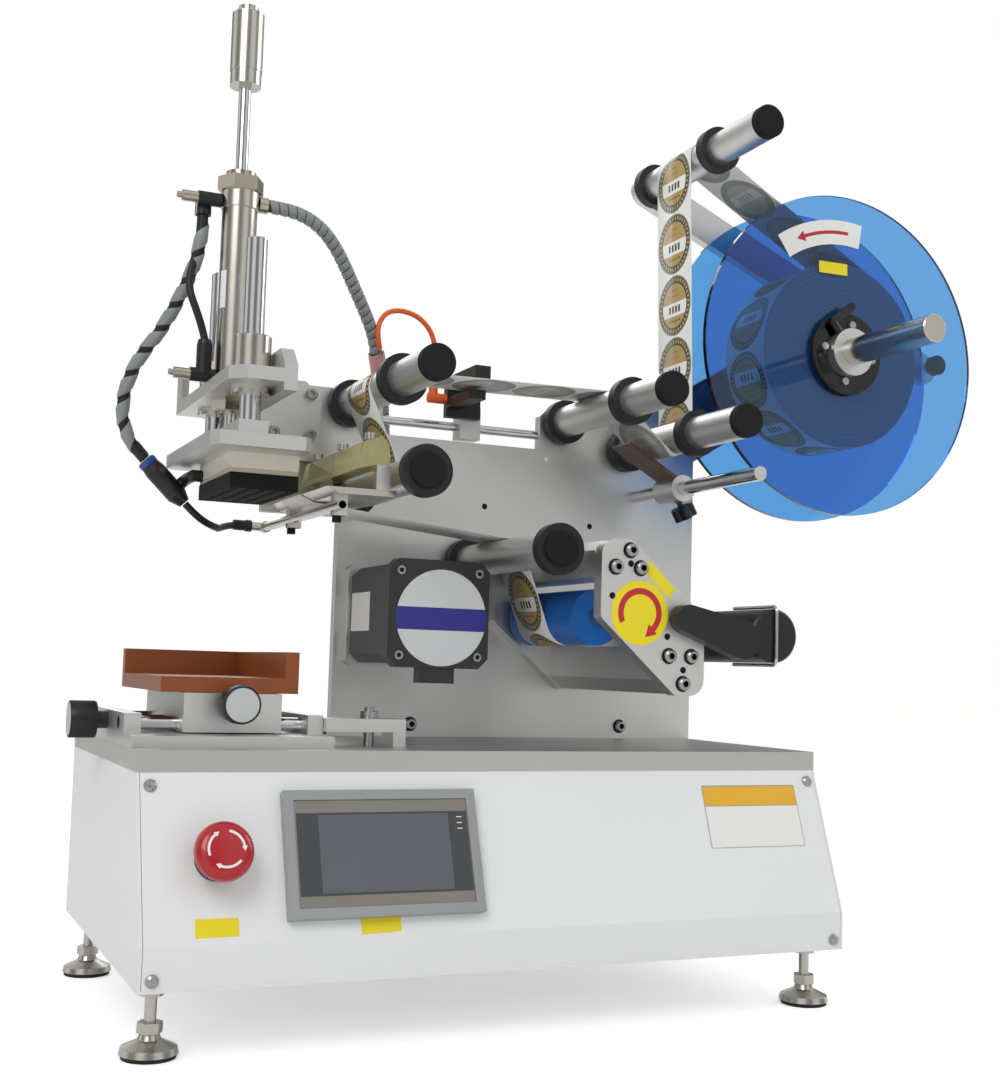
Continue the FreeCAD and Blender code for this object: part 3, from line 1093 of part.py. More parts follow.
def build_table():
    rails = [f"rail_mid_y + {side} * rail_half" for side in (-1, 1)]
    pieces = [block(("base_left", "base_right"), ("base_front", "base_back"),
                    ("lid_top", "base_top"))]
    screw_bore = "feed_screw + 2 * run_gap"
    for left, right in (("base_left", "block_left"), ("block_right", "base_right")):
        end = block((left, right), ("block_front", "block_back"), ("base_top", "block_top"))
        holes = [rod("x", (y, "rail_mid_z"), (left, right), "rail_bar + seat_gap") for y in rails]
        holes.append(rod("x", ("rail_mid_y", "rail_mid_z"), (left, right), screw_bore))
        pieces.append(cut(end, *holes))
    for y in rails:
        pieces.append(rod("x", (y, "rail_mid_z"), ("base_left", "base_right"), "rail_bar"))
    node("table_base", *pieces)

    slide_x = ("slide_left", "slide_right")
    slide_y = ("slide_front", "slide_back")
    lower = block(slide_x, slide_y, ("slide_low", "slide_split"))
    holes = [rod("x", (y, "rail_mid_z"), slide_x, "rail_bar + 2 * run_gap") for y in rails]
    holes.append(rod("x", ("rail_mid_y", "rail_mid_z"), slide_x, screw_bore))
    upper = block(slide_x, slide_y, ("slide_split", "slide_top"))
    mid_x = middle("slide_left", "slide_right")
    slot = block((f"{mid_x} - slot_half", f"{mid_x} + slot_half"), ("slot_front", "slot_back"),
                 ("slot_floor", "slide_top"))
    cross_bore = rod("y", (mid_x, "cross_z"), ("slide_front", "cross_back + 1"),
                     "cross_screw + 2 * run_gap")
    node("cross_carriage", cut(lower, *holes), cut(cut(upper, slot), cross_bore))

    tray = block(("tray_left", "tray_right"), ("tray_front", "tray_back"), ("tray_low", "tray_top"))
    inside = block(("tray_left - tray_wall", "tray_right - tray_wall"),
                   ("tray_front - tray_wall", "tray_back - tray_wall"), ("tray_floor", "tray_top"))
    lug = block((f"{mid_x} - lug_half", f"{mid_x} + lug_half"),
                ("lug_y - lug_long / 2", "lug_y + lug_long / 2"), ("slot_floor + 1", "tray_low"))
    lug_bore = rod("y", (mid_x, "cross_z"), ("lug_y - lug_long / 2", "lug_y + lug_long / 2"),
                   "cross_screw + 2 * run_gap")
    node("nest_tray", fuse(cut(tray, inside), cut(lug, lug_bore)))

    knob_back = "knob_end + 16"
    node("cross_knob",
         turned("y", (mid_x, "cross_z"), [
             ("knob_end", 0), ("knob_end", "knob_wide - 2"), ("knob_end + 1", "knob_wide"),
             (knob_back, "knob_wide"), (knob_back, "knob_wide * 0.5"),
             ("slide_front - skin_gap", "knob_wide * 0.5"), ("slide_front - skin_gap", "cross_screw"),
             ("cross_back", "cross_screw"), ("cross_back", 0)]))
    node("feed_knob",
         turned("x", ("rail_mid_y", "rail_mid_z"), [
             ("x_knob_end", 0), ("x_knob_end", "knob_wide - 2"), ("x_knob_end + 1", "knob_wide"),
             ("x_knob_near - 6", "knob_wide"), ("x_knob_near - 6", "knob_wide * 0.5"),
             ("base_left - skin_gap", "knob_wide * 0.5"), ("base_left - skin_gap", "feed_screw"),
             ("base_right", "feed_screw"), ("base_right", 0)]))

    held_low = "held_top - held_thick"
    bar = slab("XZ", [
        ("held_left", held_low), ("held_right - held_thick", held_low),
        ("held_right - held_thick", "lid_top"), ("held_right", "lid_top"),
        ("held_right", "held_top"), ("held_left", "held_top")], ("held_front", "held_back"))
    spot = ("held_bolt_x", middle("held_front", "held_back"))
    hole = rod("z", spot, (held_low, "held_top"), "foot_stud")
    bolt = turned("z", spot, [("lid_top", 0), ("lid_top", "foot_stud"), ("held_top", "foot_stud"),
                              ("held_top", "foot_nut - 1"), ("held_bolt_top - 3", "foot_nut - 1"),
                              ("held_bolt_top - 3", "foot_stud"), ("held_bolt_top", "foot_stud"),
                              ("held_bolt_top", 0)])
    node("hold_down_clamp", cut(bar, hole), bolt)


# Gear inside the cabinet: power supply, controller, step driver, valve and terminals. Each is given
# by its left edge, width, front, depth and height, in steps of the mounting plate's grid.

GEAR = [(2, 22, 1, 24, 10), (27, 12, 3, 18, 18), (42, 14, 3, 20, 15), (59, 12, 5, 8, 9),
        (59, 12, 16, 6, 6)]


def build_gear():
    floor = "shell_low + sheet_gauge"
    top = f"{floor} + gear_plate"
    pieces = [block(("gear_left", "gear_right"), ("gear_front", "gear_back"), (floor, top))]
    for left, wide, front, deep, high in GEAR:
        x = (f"gear_left + {left} * gear_grid", f"gear_left + {left + wide} * gear_grid")
        y = (f"gear_front + {front} * gear_grid", f"gear_front + {front + deep} * gear_grid")
        pieces.append(block(x, y, (top, f"{top} + {high} * gear_grid")))
    node("control_gear", *pieces)


# The web of labels

def build_web():
    """Straight runs between rollers and edges and the arcs round them, each a thin solid."""
    thick = sheet.web_thick
    off = sheet.skin_gap + thick / 2
    clockwise = 1
    counter = -1

    def around(name, wide, way):
        spot = (getattr(sheet, name + "_x"), getattr(sheet, name + "_z"))
        return (spot, wide / 2 + off, way)

    pinch_gap = math.hypot(sheet.pinch_x - sheet.drive_x, sheet.pinch_z - sheet.drive_z)
    web_between([
        around("reel", sheet.roll_wide, counter),
        around("top_roller", sheet.roller_wide, counter),
        around("feed_roller", sheet.roller_wide, clockwise),
        around("sensor_roller", sheet.roller_wide, counter),
        around("bend_roller", sheet.roller_wide, counter),
        around("peel_roller", sheet.roller_wide, clockwise),
        ((sheet.tip_x, sheet.peel_top), off, counter),
        ((sheet.bevel_x, sheet.peel_low), off, counter),
        around("liner_roller", sheet.roller_wide, clockwise),
        around("drive", sheet.drive_wide, counter),
        around("pinch", 2 * (pinch_gap - sheet.drive_wide / 2 - 2 * off), clockwise),
        around("take", sheet.take_wide, counter),
    ], thick)


def tangent_pair(one, other):
    """The straight run that leaves one roller and reaches the next."""
    (start, start_half, way), (end, end_half, next_way) = one, other
    return tangents(start, start_half, end, end_half, way, crossed=way != next_way)


def web_run(start, end, thick):
    """A flat stretch of the web, thick about the line between two points."""
    apart = math.hypot(end[0] - start[0], end[1] - start[1])
    side = (-(end[1] - start[1]) / apart * thick / 2, (end[0] - start[0]) / apart * thick / 2)
    points = [(start[0] + side[0], start[1] + side[1]), (end[0] + side[0], end[1] + side[1]),
              (end[0] - side[0], end[1] - side[1]), (start[0] - side[0], start[1] - side[1])]
    return rounded_plate(points, [0] * 4, sheet.web_front, sheet.web_front + sheet.web_wide)


def web_arc(centre, half, start, end, way, thick):
    """A stretch of the web round a roller: way is 1 for clockwise."""
    first = math.atan2(start[1] - centre[1], start[0] - centre[0])
    last = math.atan2(end[1] - centre[1], end[0] - centre[0])
    sweep = (first - last) % (2 * math.pi) if way > 0 else (last - first) % (2 * math.pi)
    edges = []
    rims = []
    for radius in (half - thick / 2, half + thick / 2):
        spots = []
        for share in (0, 0.5, 1):
            turn = first - way * sweep * share
            spots.append(Vector(centre[0] + radius * math.cos(turn), sheet.web_front,
                                centre[1] + radius * math.sin(turn)))
        rims.append(spots)
        edges.append(Part.Arc(*spots).toShape())
    edges.append(Part.LineSegment(rims[0][0], rims[1][0]).toShape())
    edges.append(Part.LineSegment(rims[0][2], rims[1][2]).toShape())
    face = Part.Face(Part.Wire(Part.__sortEdges__(edges)))
    return face.extrude(Vector(0, sheet.web_wide, 0))


def web_between(stops, thick):
    """The runs between a row of rollers and the arcs on those in the middle."""
    runs = [tangent_pair(one, other) for one, other in zip(stops, stops[1:])]
    solids = [web_run(start, end, thick) for start, end in runs if math.dist(start, end) > thick]
    for stop, before, after in zip(stops[1:], runs, runs[1:]):
        centre, half, way = stop
        solids.append(web_arc(centre, half, before[1], after[0], way, thick))
    node("label_web", feature(Part.makeCompound(solids)))


# Hoses and the cable

def cord(label, points, wide):
    """A hose along a route: straight runs with tangent arcs as large as the runs allow."""
    spots = [Vector(*point) for point in points]
    radii = [0] * len(spots)
    for step in range(1, len(spots) - 1):
        before = spots[step] - spots[step - 1]
        after = spots[step + 1] - spots[step]
        turn = before.getAngle(after)
        radii[step] = 0.45 * min(before.Length, after.Length) / math.tan(turn / 2)
    path = wire_through(spots, radii)
    tube = swept(path, spots[0], spots[1] - spots[0], wide)
    share = tube.Volume / (math.pi * wide * wide / 4 * path.Length)
    tight = min(radius for radius in radii if radius)
    print([round(radius / wide, 1) for radius in radii])
    print(f"{label}: long {path.Length:.1f}, tightest {tight:.1f} = {tight / wide:.1f} widths, "
          f"volume share {share:.4f}")
    node(label, feature(tube))


def build_hoses():
    port = sheet.side_port_z
    cord("conduit_hose", [
        (sheet.side_port_right, 4, port), (-154, 4, port), (-137, 6.5, 622.5),
        (-120.5, 12.5, 616), (-106, 21, 605), (-93, 31, 591), (-80, 42, 575.5), (-68.5, 51, 561.5),
        (-57.5, 60, 546), (-49, 71, 527), (-38, 88, 504), (-31, 99, 478), (-28, 105, 446),
        (-34, 108, 408), (-45, 110, 369), (-56, 111.5, 330), (-62.5, 111.5, 291),
        (-64, 110.5, 255), (-62.5, 110, 227),
        (sheet.gland_x, sheet.gland_y, sheet.lid_top + 1),
    ], sheet.conduit_wide)
    elbow_x = sheet.fit_left + sheet.elbow_wide / 2
    top = Vector(sheet.ejector_top_x, sheet.ejector_top_y, sheet.ejector_top_z)
    low = Vector(sheet.ejector_low_x, sheet.ejector_low_y, sheet.ejector_low_z)
    way = low - top
    long = way.Length
    way.normalize()
    cord("bundle_hose", [
        (elbow_x, sheet.elbow_y, sheet.elbow_low), (elbow_x, sheet.elbow_y, 595),
        (-221.7, 15.6, 578), (-226.7, 22.8, 560), (-234, 32, 541), (-243, 41.5, 521),
        (-253.5, 50.5, 506), (-260.7, 59.2, 490.6), (-264.4, 67, 475.2),
        (-264.7, 73.5, 460.3), (-261.3, 78, 446.2),
        tuple(top - way * 16), tuple(top - way * sheet.skin_gap * 2),
    ], sheet.bundle_wide)
    low_x = sheet.fit_left + sheet.port_wide
    cord("cylinder_hose", [
        (-233, 16, 576), (-233, 10, 563), (-229, 6, 549), (-223, 4, 534), (-218, 4, 521),
        (low_x, sheet.press_y, sheet.fit_low_z + sheet.fit_low_tall),
    ], sheet.hose_wide)
    body = Part.makeCylinder(sheet.ejector_wide / 2, long * 0.55, top + way * long * 0.25, way)
    neck = Part.makeCone(sheet.bundle_wide / 2 + 1, sheet.ejector_wide / 2, long * 0.25, top, way)
    nose = Part.makeCone(sheet.ejector_wide / 2, sheet.blow_hose_wide * 0.8, long * 0.2,
                         top + way * long * 0.8, way)
    port_half = sheet.hose_wide * 0.8
    port_x = sheet.box_left - port_half - 2
    port_z = sheet.press_top - sheet.press_thick - sheet.box_high / 2 - 1
    port_y = sheet.box_back - 9
    root = top + way * long * 0.7
    bend = Vector(port_x, root.y, port_z)
    knee = Vector(port_x, port_y, port_z)
    arms = []
    for start, end in ((root, bend), (bend, knee), (knee, Vector(sheet.box_left, port_y, port_z))):
        arms.append(Part.makeCylinder(port_half, (end - start).Length, start, end - start))
    arms += [Part.makeSphere(port_half, spot) for spot in (bend, knee)]
    node("vacuum_ejector", feature(body.fuse([neck, nose] + arms).removeSplitter()))
    cord("blow_hose", [
        tuple(low + way * sheet.skin_gap * 2), tuple(low + way * 13), (-189.7, 79.4, 373.1),
        (-177.9, 90.6, 371), (-174.1, 108.1, 372.2), (-163.9, 120.8, 376.3), (-152.7, 126, 378),
        (sheet.blow_x - sheet.blow_elbow_long, sheet.blow_back + sheet.blow_wide / 2, sheet.blow_z),
    ], sheet.blow_hose_wide)
    spine = sheet.fork_back - 4
    start = sheet.fork_left - sheet.relief_long
    cord("sensor_cable", [
        (start, spine, sheet.fork_gap_low + sheet.relief_long + sheet.skin_gap),
        (start, spine, 524), (1.5, 61, 541), (-4, 60, 556), (-17, 60, 567), (-33, 60, 570),
        (-46.5, 57.5, 566), (-54.5, 54, 555), (-56, 52.4, 543), (-51.5, 57.6, 533),
    ], sheet.cable_wide)


build_cabinet()
build_plate()
build_press_head()
build_peeling()
build_rollers()
build_arms()
build_reel()
build_sensor()
build_motor()
build_traction()
build_flap()
build_table()
build_gear()
build_web()
build_hoses()
doc.recompute()

faults = [item.Name + " " + ",".join(item.State) for item in doc.Objects
          if "Invalid" in item.State or "Error" in item.State]
for item in sub_parts:
    if item.Shape.isNull() or not item.Shape.isValid() or not item.Shape.Solids:
        faults.append("shape of " + item.Label)
if faults:
    raise RuntimeError("faults: " + "; ".join(faults))
os.makedirs("parts", exist_ok=True)
for item in sub_parts:
    item.Shape.exportStep(f"parts/{item.Label}.step")
print(len(sub_parts), "sub-parts")
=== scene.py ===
# %% [markdown]
# # A benchtop labeling machine
# The solid parts come from the CAD model, already in place and in metres. This lesson gives them
# their finishes and makes what CAD leaves plain: wrapped hoses, the web of printed labels, the
# wound roll, the mushroom button, knurled knobs, the screen and the stickers.

# %% Frame and sizes
import math

import bmesh
import bpy
from mathutils import Matrix, Vector


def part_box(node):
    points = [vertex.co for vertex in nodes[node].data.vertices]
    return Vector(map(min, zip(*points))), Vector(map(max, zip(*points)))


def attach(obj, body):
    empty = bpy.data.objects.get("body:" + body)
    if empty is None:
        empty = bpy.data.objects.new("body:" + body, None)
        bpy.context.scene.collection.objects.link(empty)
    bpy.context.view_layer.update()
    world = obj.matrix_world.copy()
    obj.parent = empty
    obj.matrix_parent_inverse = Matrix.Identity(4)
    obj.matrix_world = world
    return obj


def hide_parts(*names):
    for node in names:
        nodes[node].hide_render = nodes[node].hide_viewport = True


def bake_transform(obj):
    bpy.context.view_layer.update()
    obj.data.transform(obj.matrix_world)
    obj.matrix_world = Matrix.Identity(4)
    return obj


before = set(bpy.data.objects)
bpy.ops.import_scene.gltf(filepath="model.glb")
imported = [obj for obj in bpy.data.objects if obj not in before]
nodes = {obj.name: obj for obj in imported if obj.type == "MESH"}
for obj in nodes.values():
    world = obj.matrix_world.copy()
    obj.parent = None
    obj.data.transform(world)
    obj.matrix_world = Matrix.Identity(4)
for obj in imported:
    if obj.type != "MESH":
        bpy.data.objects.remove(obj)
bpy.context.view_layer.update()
MM = 0.001

# %% [markdown]
# ## Camera
# The photograph was taken from low on the left, looking slightly up. The place and the three turns
# were found by matching known points of the machine, so the camera is simply set to them.

# %% Camera
scene = bpy.context.scene
scene.view_settings.view_transform = "Standard"
lens = bpy.data.cameras.new("camera")
lens.lens = 47.606
lens.clip_end = 80
camera = bpy.data.objects.new("camera", lens)
camera.location = Vector((-455.93, -1109.97, 260.8)) * MM
camera.rotation_euler = [math.radians(turn) for turn in (94.8427, -1.6465, -24.3018)]
scene.collection.objects.link(camera)
scene.camera = camera
print("camera at", tuple(round(v, 3) for v in camera.location))

# %% [markdown]
# ## Tools for finishes
# A finish is a tree of shader nodes. One function adds a node, sets it and joins it, and one turns
# the hex codes of a paint chart into the linear colours that the shader works in.

# %% Tools for finishes
def linear(code):
    """Linear colour of an sRGB hex code."""
    parts = [int(code[spot:spot + 2], 16) / 255 for spot in (1, 3, 5)]
    return (*[part / 12.92 if part <= 0.04045 else ((part + 0.055) / 1.055) ** 2.4
              for part in parts], 1)


def add(tree, kind, inputs=(), **settings):
    """Adds a node, with its settings and with values or other nodes' outputs on its inputs."""
    made = tree.nodes.new("ShaderNode" + kind)
    for name, value in settings.items():
        setattr(made, name, value)
    for name, value in dict(inputs).items():
        if isinstance(value, bpy.types.NodeSocket):
            tree.links.new(value, made.inputs[name])
        else:
            made.inputs[name].default_value = value
    return made


def begin(name):
    """A new material: its tree and its main shader."""
    material = bpy.data.materials.new(name)
    material.use_nodes = True
    tree = material.node_tree
    return material, tree, tree.nodes["Principled BSDF"]


def join(tree, source, shader, name):
    tree.links.new(source, shader.inputs[name])


# %% [markdown]
# ## Metals
# Bare metal shows how it was worked: brushing and turning leave fine lines one way, blasting and
# anodising leave an even grain. The lines are a noise that is stretched along the work. Real lines
# lie about 0.1 mm apart, too fine for this view, so they are drawn a few times coarser.

# %% Metals
def metal(name, code, rough, grain, along=None, height=0.01, patchy=0.05):
    """Bare metal. grain is the lines' spacing in mm, and along the axis that they follow."""
    material, tree, shader = begin(name)
    spread = [1 / (grain * MM)] * 3
    if along is not None:
        spread[along] /= 70
    place = add(tree, "TexCoord").outputs["Object"]
    lines = add(tree, "Mapping", {"Vector": place, "Scale": spread}).outputs["Vector"]
    fine = add(tree, "TexNoise", {"Vector": lines, "Scale": 1, "Detail": 2}).outputs[0]
    wide = add(tree, "TexNoise", {"Vector": place, "Scale": 14, "Detail": 3}).outputs[0]
    both = add(tree, "Math", {0: fine, 1: wide}, operation="ADD").outputs[0]
    gloss = add(tree, "MapRange", {"Value": both, "From Min": 0.7, "From Max": 1.3,
                                   "To Min": rough - patchy, "To Max": rough + patchy}).outputs[0]
    edge = add(tree, "Bevel", {"Radius": 0.35 * MM}, samples=4).outputs[0]
    relief = add(tree, "Bump", {"Height": fine, "Distance": height * MM, "Strength": 0.6,
                                "Normal": edge}).outputs[0]
    shader.inputs["Base Color"].default_value = linear(code)
    shader.inputs["Metallic"].default_value = 1
    join(tree, gloss, shader, "Roughness")
    join(tree, relief, shader, "Normal")
    return material


PLATE_ALUMINIUM = metal("clear anodised aluminium, fine blasted", "#DADAD9", 0.42, 0.35)
BRUSHED_ALUMINIUM = metal("brushed aluminium tube", "#DCDCDB", 0.4, 0.3, along=1)
LID_STEEL = metal("brushed stainless sheet", "#C8C8C7", 0.36, 0.3, along=0, height=0.02)
STAINLESS = metal("turned stainless steel", "#C6C2BA", 0.22, 0.3)
CHROME = metal("hard chromed rod", "#CDCFD0", 0.1, 0.4, patchy=0.02)
NICKEL = metal("nickel plated brass", "#B9B2A3", 0.2, 0.3)
ZINC = metal("zinc plated screw", "#A9ABAA", 0.3, 0.3)
# This black steel finish also serves as painted shade in screw holes and counterbore gaps.
BLACK_STEEL_AND_PAINTED_SHADE = metal("black oxide steel and painted shade", "#2A2A2C", 0.4, 0.3)
print("metals", len(bpy.data.materials))

# %% [markdown]
# ## Coats, plastics and rubbers
# Powder coat has a slight orange peel, moulded plastic a fine spark grain, and rubber is dull and
# closed. They differ in colour, gloss and grain only, so one function makes them all.

# %% Coats, plastics and rubbers
def solid_colour(name, code, rough, grain, height=0.02, shift=0.06, coat=0.0):
    """An opaque coat, plastic or rubber with a grain of a size in mm."""
    material, tree, shader = begin(name)
    place = add(tree, "TexCoord").outputs["Object"]
    fine = add(tree, "TexNoise",
               {"Vector": place, "Scale": 1 / (grain * MM), "Detail": 2}).outputs[0]
    wide = add(tree, "TexNoise", {"Vector": place, "Scale": 9, "Detail": 2}).outputs[0]
    tone = add(tree, "MapRange", {"Value": wide, "To Min": 1 - shift, "To Max": 1 + shift / 2,
                                  "From Min": 0.3, "From Max": 0.7}).outputs[0]
    tint = add(tree, "Mix", {"Factor": 1, 6: linear(code), 7: tone}, data_type="RGBA",
               blend_type="MULTIPLY").outputs[2]
    gloss = add(tree, "MapRange", {"Value": wide, "To Min": rough * 0.85,
                                   "To Max": rough * 1.15}).outputs[0]
    edge = add(tree, "Bevel", {"Radius": 0.3 * MM}, samples=4).outputs[0]
    relief = add(tree, "Bump", {"Height": fine, "Distance": height * MM, "Strength": 0.5,
                                "Normal": edge}).outputs[0]
    shader.inputs["Coat Weight"].default_value = coat
    join(tree, tint, shader, "Base Color")
    join(tree, gloss, shader, "Roughness")
    join(tree, relief, shader, "Normal")
    return material


POWDER_COAT = solid_colour("white powder coat", "#EDEFF0", 0.38, 1.1, height=0.03, shift=0.015)
BLACK_MOULDED = solid_colour("black moulded nylon", "#151617", 0.42, 0.5)
BLACK_CAP = solid_colour("black foam rubber end cap", "#060607", 0.85, 0.4)
BLACK_RUBBER = solid_colour("black nitrile rubber", "#101112", 0.5, 0.4)
BELT_RUBBER = solid_colour("black neoprene belt", "#1A1A1B", 0.7, 0.6)
SPONGE = solid_colour("black sponge rubber", "#0C0C0E", 0.9, 1.2, height=0.25)
DRIVE_RUBBER = solid_colour("blue polyurethane cover", "#1F74D1", 0.4, 0.5)
GREY_WRAP = solid_colour("grey polyethylene spiral wrap", "#8D9195", 0.4, 1.0)
GREY_PANEL = solid_colour("grey moulded ABS bezel", "#9A9D9F", 0.4, 0.6)
GREY_CAP = solid_colour("grey moulded ABS cap", "#C6C8CA", 0.45, 0.6)
RED_NYLON = solid_colour("red moulded nylon", "#B3121E", 0.28, 0.8, coat=0.3)
ORANGE_CABLE = solid_colour("orange polyurethane cable", "#E8641E", 0.45, 0.6)
PHENOLIC = solid_colour("brown phenolic cloth laminate", "#8F4A20", 0.35, 0.8, shift=0.2)
LEAF_PHENOLIC = solid_colour("dark phenolic cloth laminate", "#5E4534", 0.4, 0.8, shift=0.15)
MOTOR_PAINT = solid_colour("black motor enamel", "#26282A", 0.35, 0.7)
YELLOW_VINYL = solid_colour("yellow vinyl film", "#F2DE1B", 0.4, 1.0, height=0.005, shift=0.01)
AMBER_VINYL = solid_colour("amber vinyl film", "#EDB52E", 0.4, 1.0, height=0.005, shift=0.01)
WHITE_VINYL = solid_colour("white vinyl film", "#F0F0EE", 0.4, 1.0, height=0.005, shift=0.01)
RED_VINYL = solid_colour("red vinyl film", "#C42030", 0.4, 1.0, height=0.005, shift=0.01)
BLUE_VINYL = solid_colour("blue vinyl film", "#29298C", 0.4, 1.0, height=0.005, shift=0.01)
SILVER_VINYL = solid_colour("silver vinyl film", "#D3D5D8", 0.3, 1.0, height=0.005, shift=0.02)
PINK_TAPE = solid_colour("pale red film tape", "#D79A9C", 0.3, 1.5, shift=0.1)
IVORY_ACRYLIC = solid_colour("ivory cast acrylic", "#DDD8CB", 0.25, 1.0, height=0.01, shift=0.08)
AGED_ACRYLIC = solid_colour("aged ivory acrylic", "#BDB6A2", 0.3, 1.0, height=0.01, shift=0.12)
BLUE_RING = solid_colour("blue moulded acetal", "#1C4E9E", 0.4, 0.5)
print("materials", len(bpy.data.materials))

# %% [markdown]
# ## Clear plastics and glass
# The reel discs are cast acrylic, dyed blue right through. The shader tints light by half where it
# enters and by half where it leaves, so its colour is what one whole disc lets through, and two
# discs behind each other look deeper. The presser bar is old clear acrylic that has yellowed.

# %% Clear plastics and glass
ACRYLIC_INDEX = 1.49


def clear(name, code, rough, through=1.0):
    """A clear plastic. through is the share of light that isn't scattered inside it."""
    material, tree, shader = begin(name)
    place = add(tree, "TexCoord").outputs["Object"]
    haze = add(tree, "TexNoise", {"Vector": place, "Scale": 60, "Detail": 3}).outputs[0]
    gloss = add(tree, "MapRange",
                {"Value": haze, "To Min": rough, "To Max": rough + 0.03}).outputs[0]
    shader.inputs["Base Color"].default_value = linear(code)
    shader.inputs["Transmission Weight"].default_value = through
    shader.inputs["IOR"].default_value = ACRYLIC_INDEX
    join(tree, gloss, shader, "Roughness")
    return material


BLUE_ACRYLIC = clear("blue cast acrylic", "#5D9FDB", 0.0)
YELLOWED_ACRYLIC = clear("yellowed clear acrylic", "#F2EBAE", 0.1, through=0.7)
print("clear finishes made")

# %% [markdown]
# ## Tools for pieces
# A piece is drawn as a small bmesh: a spun outline, an extruded edge, a scaled primitive. One
# function closes it, shades it and lets it ride on the CAD body that carries it.

# %% Tools for pieces
def spot(x, y, z):
    """A place that is given in millimetres."""
    return Vector((x, y, z)) * MM


def as_object(name, mesh, *finishes):
    """Turns a bmesh into an object with smooth faces."""
    for face in mesh.faces:
        face.smooth = True
    data = bpy.data.meshes.new(name)
    mesh.to_mesh(data)
    mesh.free()
    for material in finishes:
        data.materials.append(material)
    made = bpy.data.objects.new(name, data)
    scene.collection.objects.link(made)
    return made


def merge(mesh):
    """Joins points that lie on each other and turns the faces outwards."""
    bmesh.ops.remove_doubles(mesh, verts=mesh.verts, dist=0.01 * MM)
    bmesh.ops.recalc_face_normals(mesh, faces=mesh.faces)


def keep(name, mesh, body, *finishes, closed=True, sharp=35):
    """Turns a bmesh into a finished piece that rides on a body."""
    if closed:
        merge(mesh)
    piece = as_object(name, mesh, *finishes)
    piece.data.set_sharp_from_angle(angle=math.radians(sharp))
    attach(piece, body)
    return piece


def basis(centre, normal, up=(0, 0, 1)):
    """The matrix that lays a piece drawn flat in XY on a surface: its Z stands out of it."""
    out = Vector(normal).normalized()
    side = Vector(up).cross(out).normalized()
    return Matrix.Translation(centre) @ Matrix((side, out.cross(side), out)).transposed().to_4x4()


def facing(x, y, z):
    """The matrix that lays a flat piece on a face that looks to the front."""
    return basis(spot(x, y, z), (0, -1, 0))


def verts_of(made):
    """The points among all that an operator made."""
    return [item for item in made if isinstance(item, bmesh.types.BMVert)]


def thicken(mesh, shift):
    """Gives a flat drawing its thickness, as a shift in metres."""
    made = bmesh.ops.extrude_face_region(mesh, geom=mesh.faces[:])["geom"]
    bmesh.ops.translate(mesh, vec=shift, verts=verts_of(made))


def spin_outline(outline, steps, mesh=None):
    """Spins an outline of (radius, height) in mm round its own Z axis."""
    mesh = mesh or bmesh.new()
    row = [mesh.verts.new(spot(radius, 0, height)) for radius, height in outline]
    edges = [mesh.edges.new(pair) for pair in zip(row, row[1:])]
    bmesh.ops.spin(mesh, geom=row + edges, cent=(0, 0, 0), axis=(0, 0, 1), angle=math.tau,
                   steps=steps, use_merge=True)
    return mesh


def thin_plate(wide, high, thick, corner=1.0):
    """A flat plate of a size in mm that lies on Z = 0, with rounded corners."""
    mesh = bmesh.new()
    bmesh.ops.create_cube(mesh, size=MM)
    bmesh.ops.scale(mesh, vec=(wide, high, thick), verts=mesh.verts)
    bmesh.ops.translate(mesh, vec=(0, 0, thick * MM / 2), verts=mesh.verts)
    upright = [edge for edge in mesh.edges if abs(edge.verts[0].co.z - edge.verts[1].co.z) > 1e-7]
    bmesh.ops.bevel(mesh, geom=upright, offset=corner * MM, segments=4, affect="EDGES", profile=0.5,
                    material=-1)
    return mesh


SLOPE_TOP_Y, SLOPE_TOP_Z = -124, 184
SLOPE_DEEP, SLOPE_HIGH = 40, 108
SLOPE_LONG = math.hypot(SLOPE_DEEP, SLOPE_HIGH)
SLOPE_OUT = (0, -SLOPE_HIGH, SLOPE_DEEP)
SLOPE_UP = (0, SLOPE_DEEP, SLOPE_HIGH)


def on_slope(x, down, proud=0.0):
    """The matrix for a place on the sloping front, in mm down from its top edge."""
    rest = Vector((x, SLOPE_TOP_Y - down * SLOPE_DEEP / SLOPE_LONG,
                   SLOPE_TOP_Z - down * SLOPE_HIGH / SLOPE_LONG))
    place = (rest + Vector(SLOPE_OUT) / SLOPE_LONG * proud) * MM
    return basis(place, SLOPE_OUT, SLOPE_UP)


print("slope is", round(SLOPE_LONG, 1), "mm long")

# %% [markdown]
# ## Hoses and the cable
# Each hose follows its route as one smooth curve. The conduit and the bundle are wrapped in a
# spiral of grey strip: the strip is drawn round a straight core, by a spin that also moves along,
# and then bent along the curve by a modifier. A plain curve with a round bevel has no such turns.

# %% Routes
def route(name, places):
    """A smooth curve with the route's points, in mm, as its control points."""
    curve = bpy.data.curves.new(name, "CURVE")
    curve.dimensions = "3D"
    curve.resolution_u = 10
    line = curve.splines.new("NURBS")
    line.points.add(len(places) - 1)
    for point, place in zip(line.points, places):
        point.co = (*(Vector(place) * MM), 1)
    line.order_u = 3
    line.use_endpoint_u = True
    piece = bpy.data.objects.new(name, curve)
    scene.collection.objects.link(piece)
    return piece


def settled(piece):
    """The mesh that a curve gives, or a piece with its modifiers."""
    bpy.context.view_layer.update()
    return bpy.data.meshes.new_from_object(
        piece.evaluated_get(bpy.context.evaluated_depsgraph_get()))


def line_of(piece):
    """The points along a route and its length, read from the bare curve."""
    data = settled(piece)
    places = [vert.co.copy() for vert in data.vertices]
    bpy.data.meshes.remove(data)
    return places, sum((b - a).length for a, b in zip(places, places[1:]))


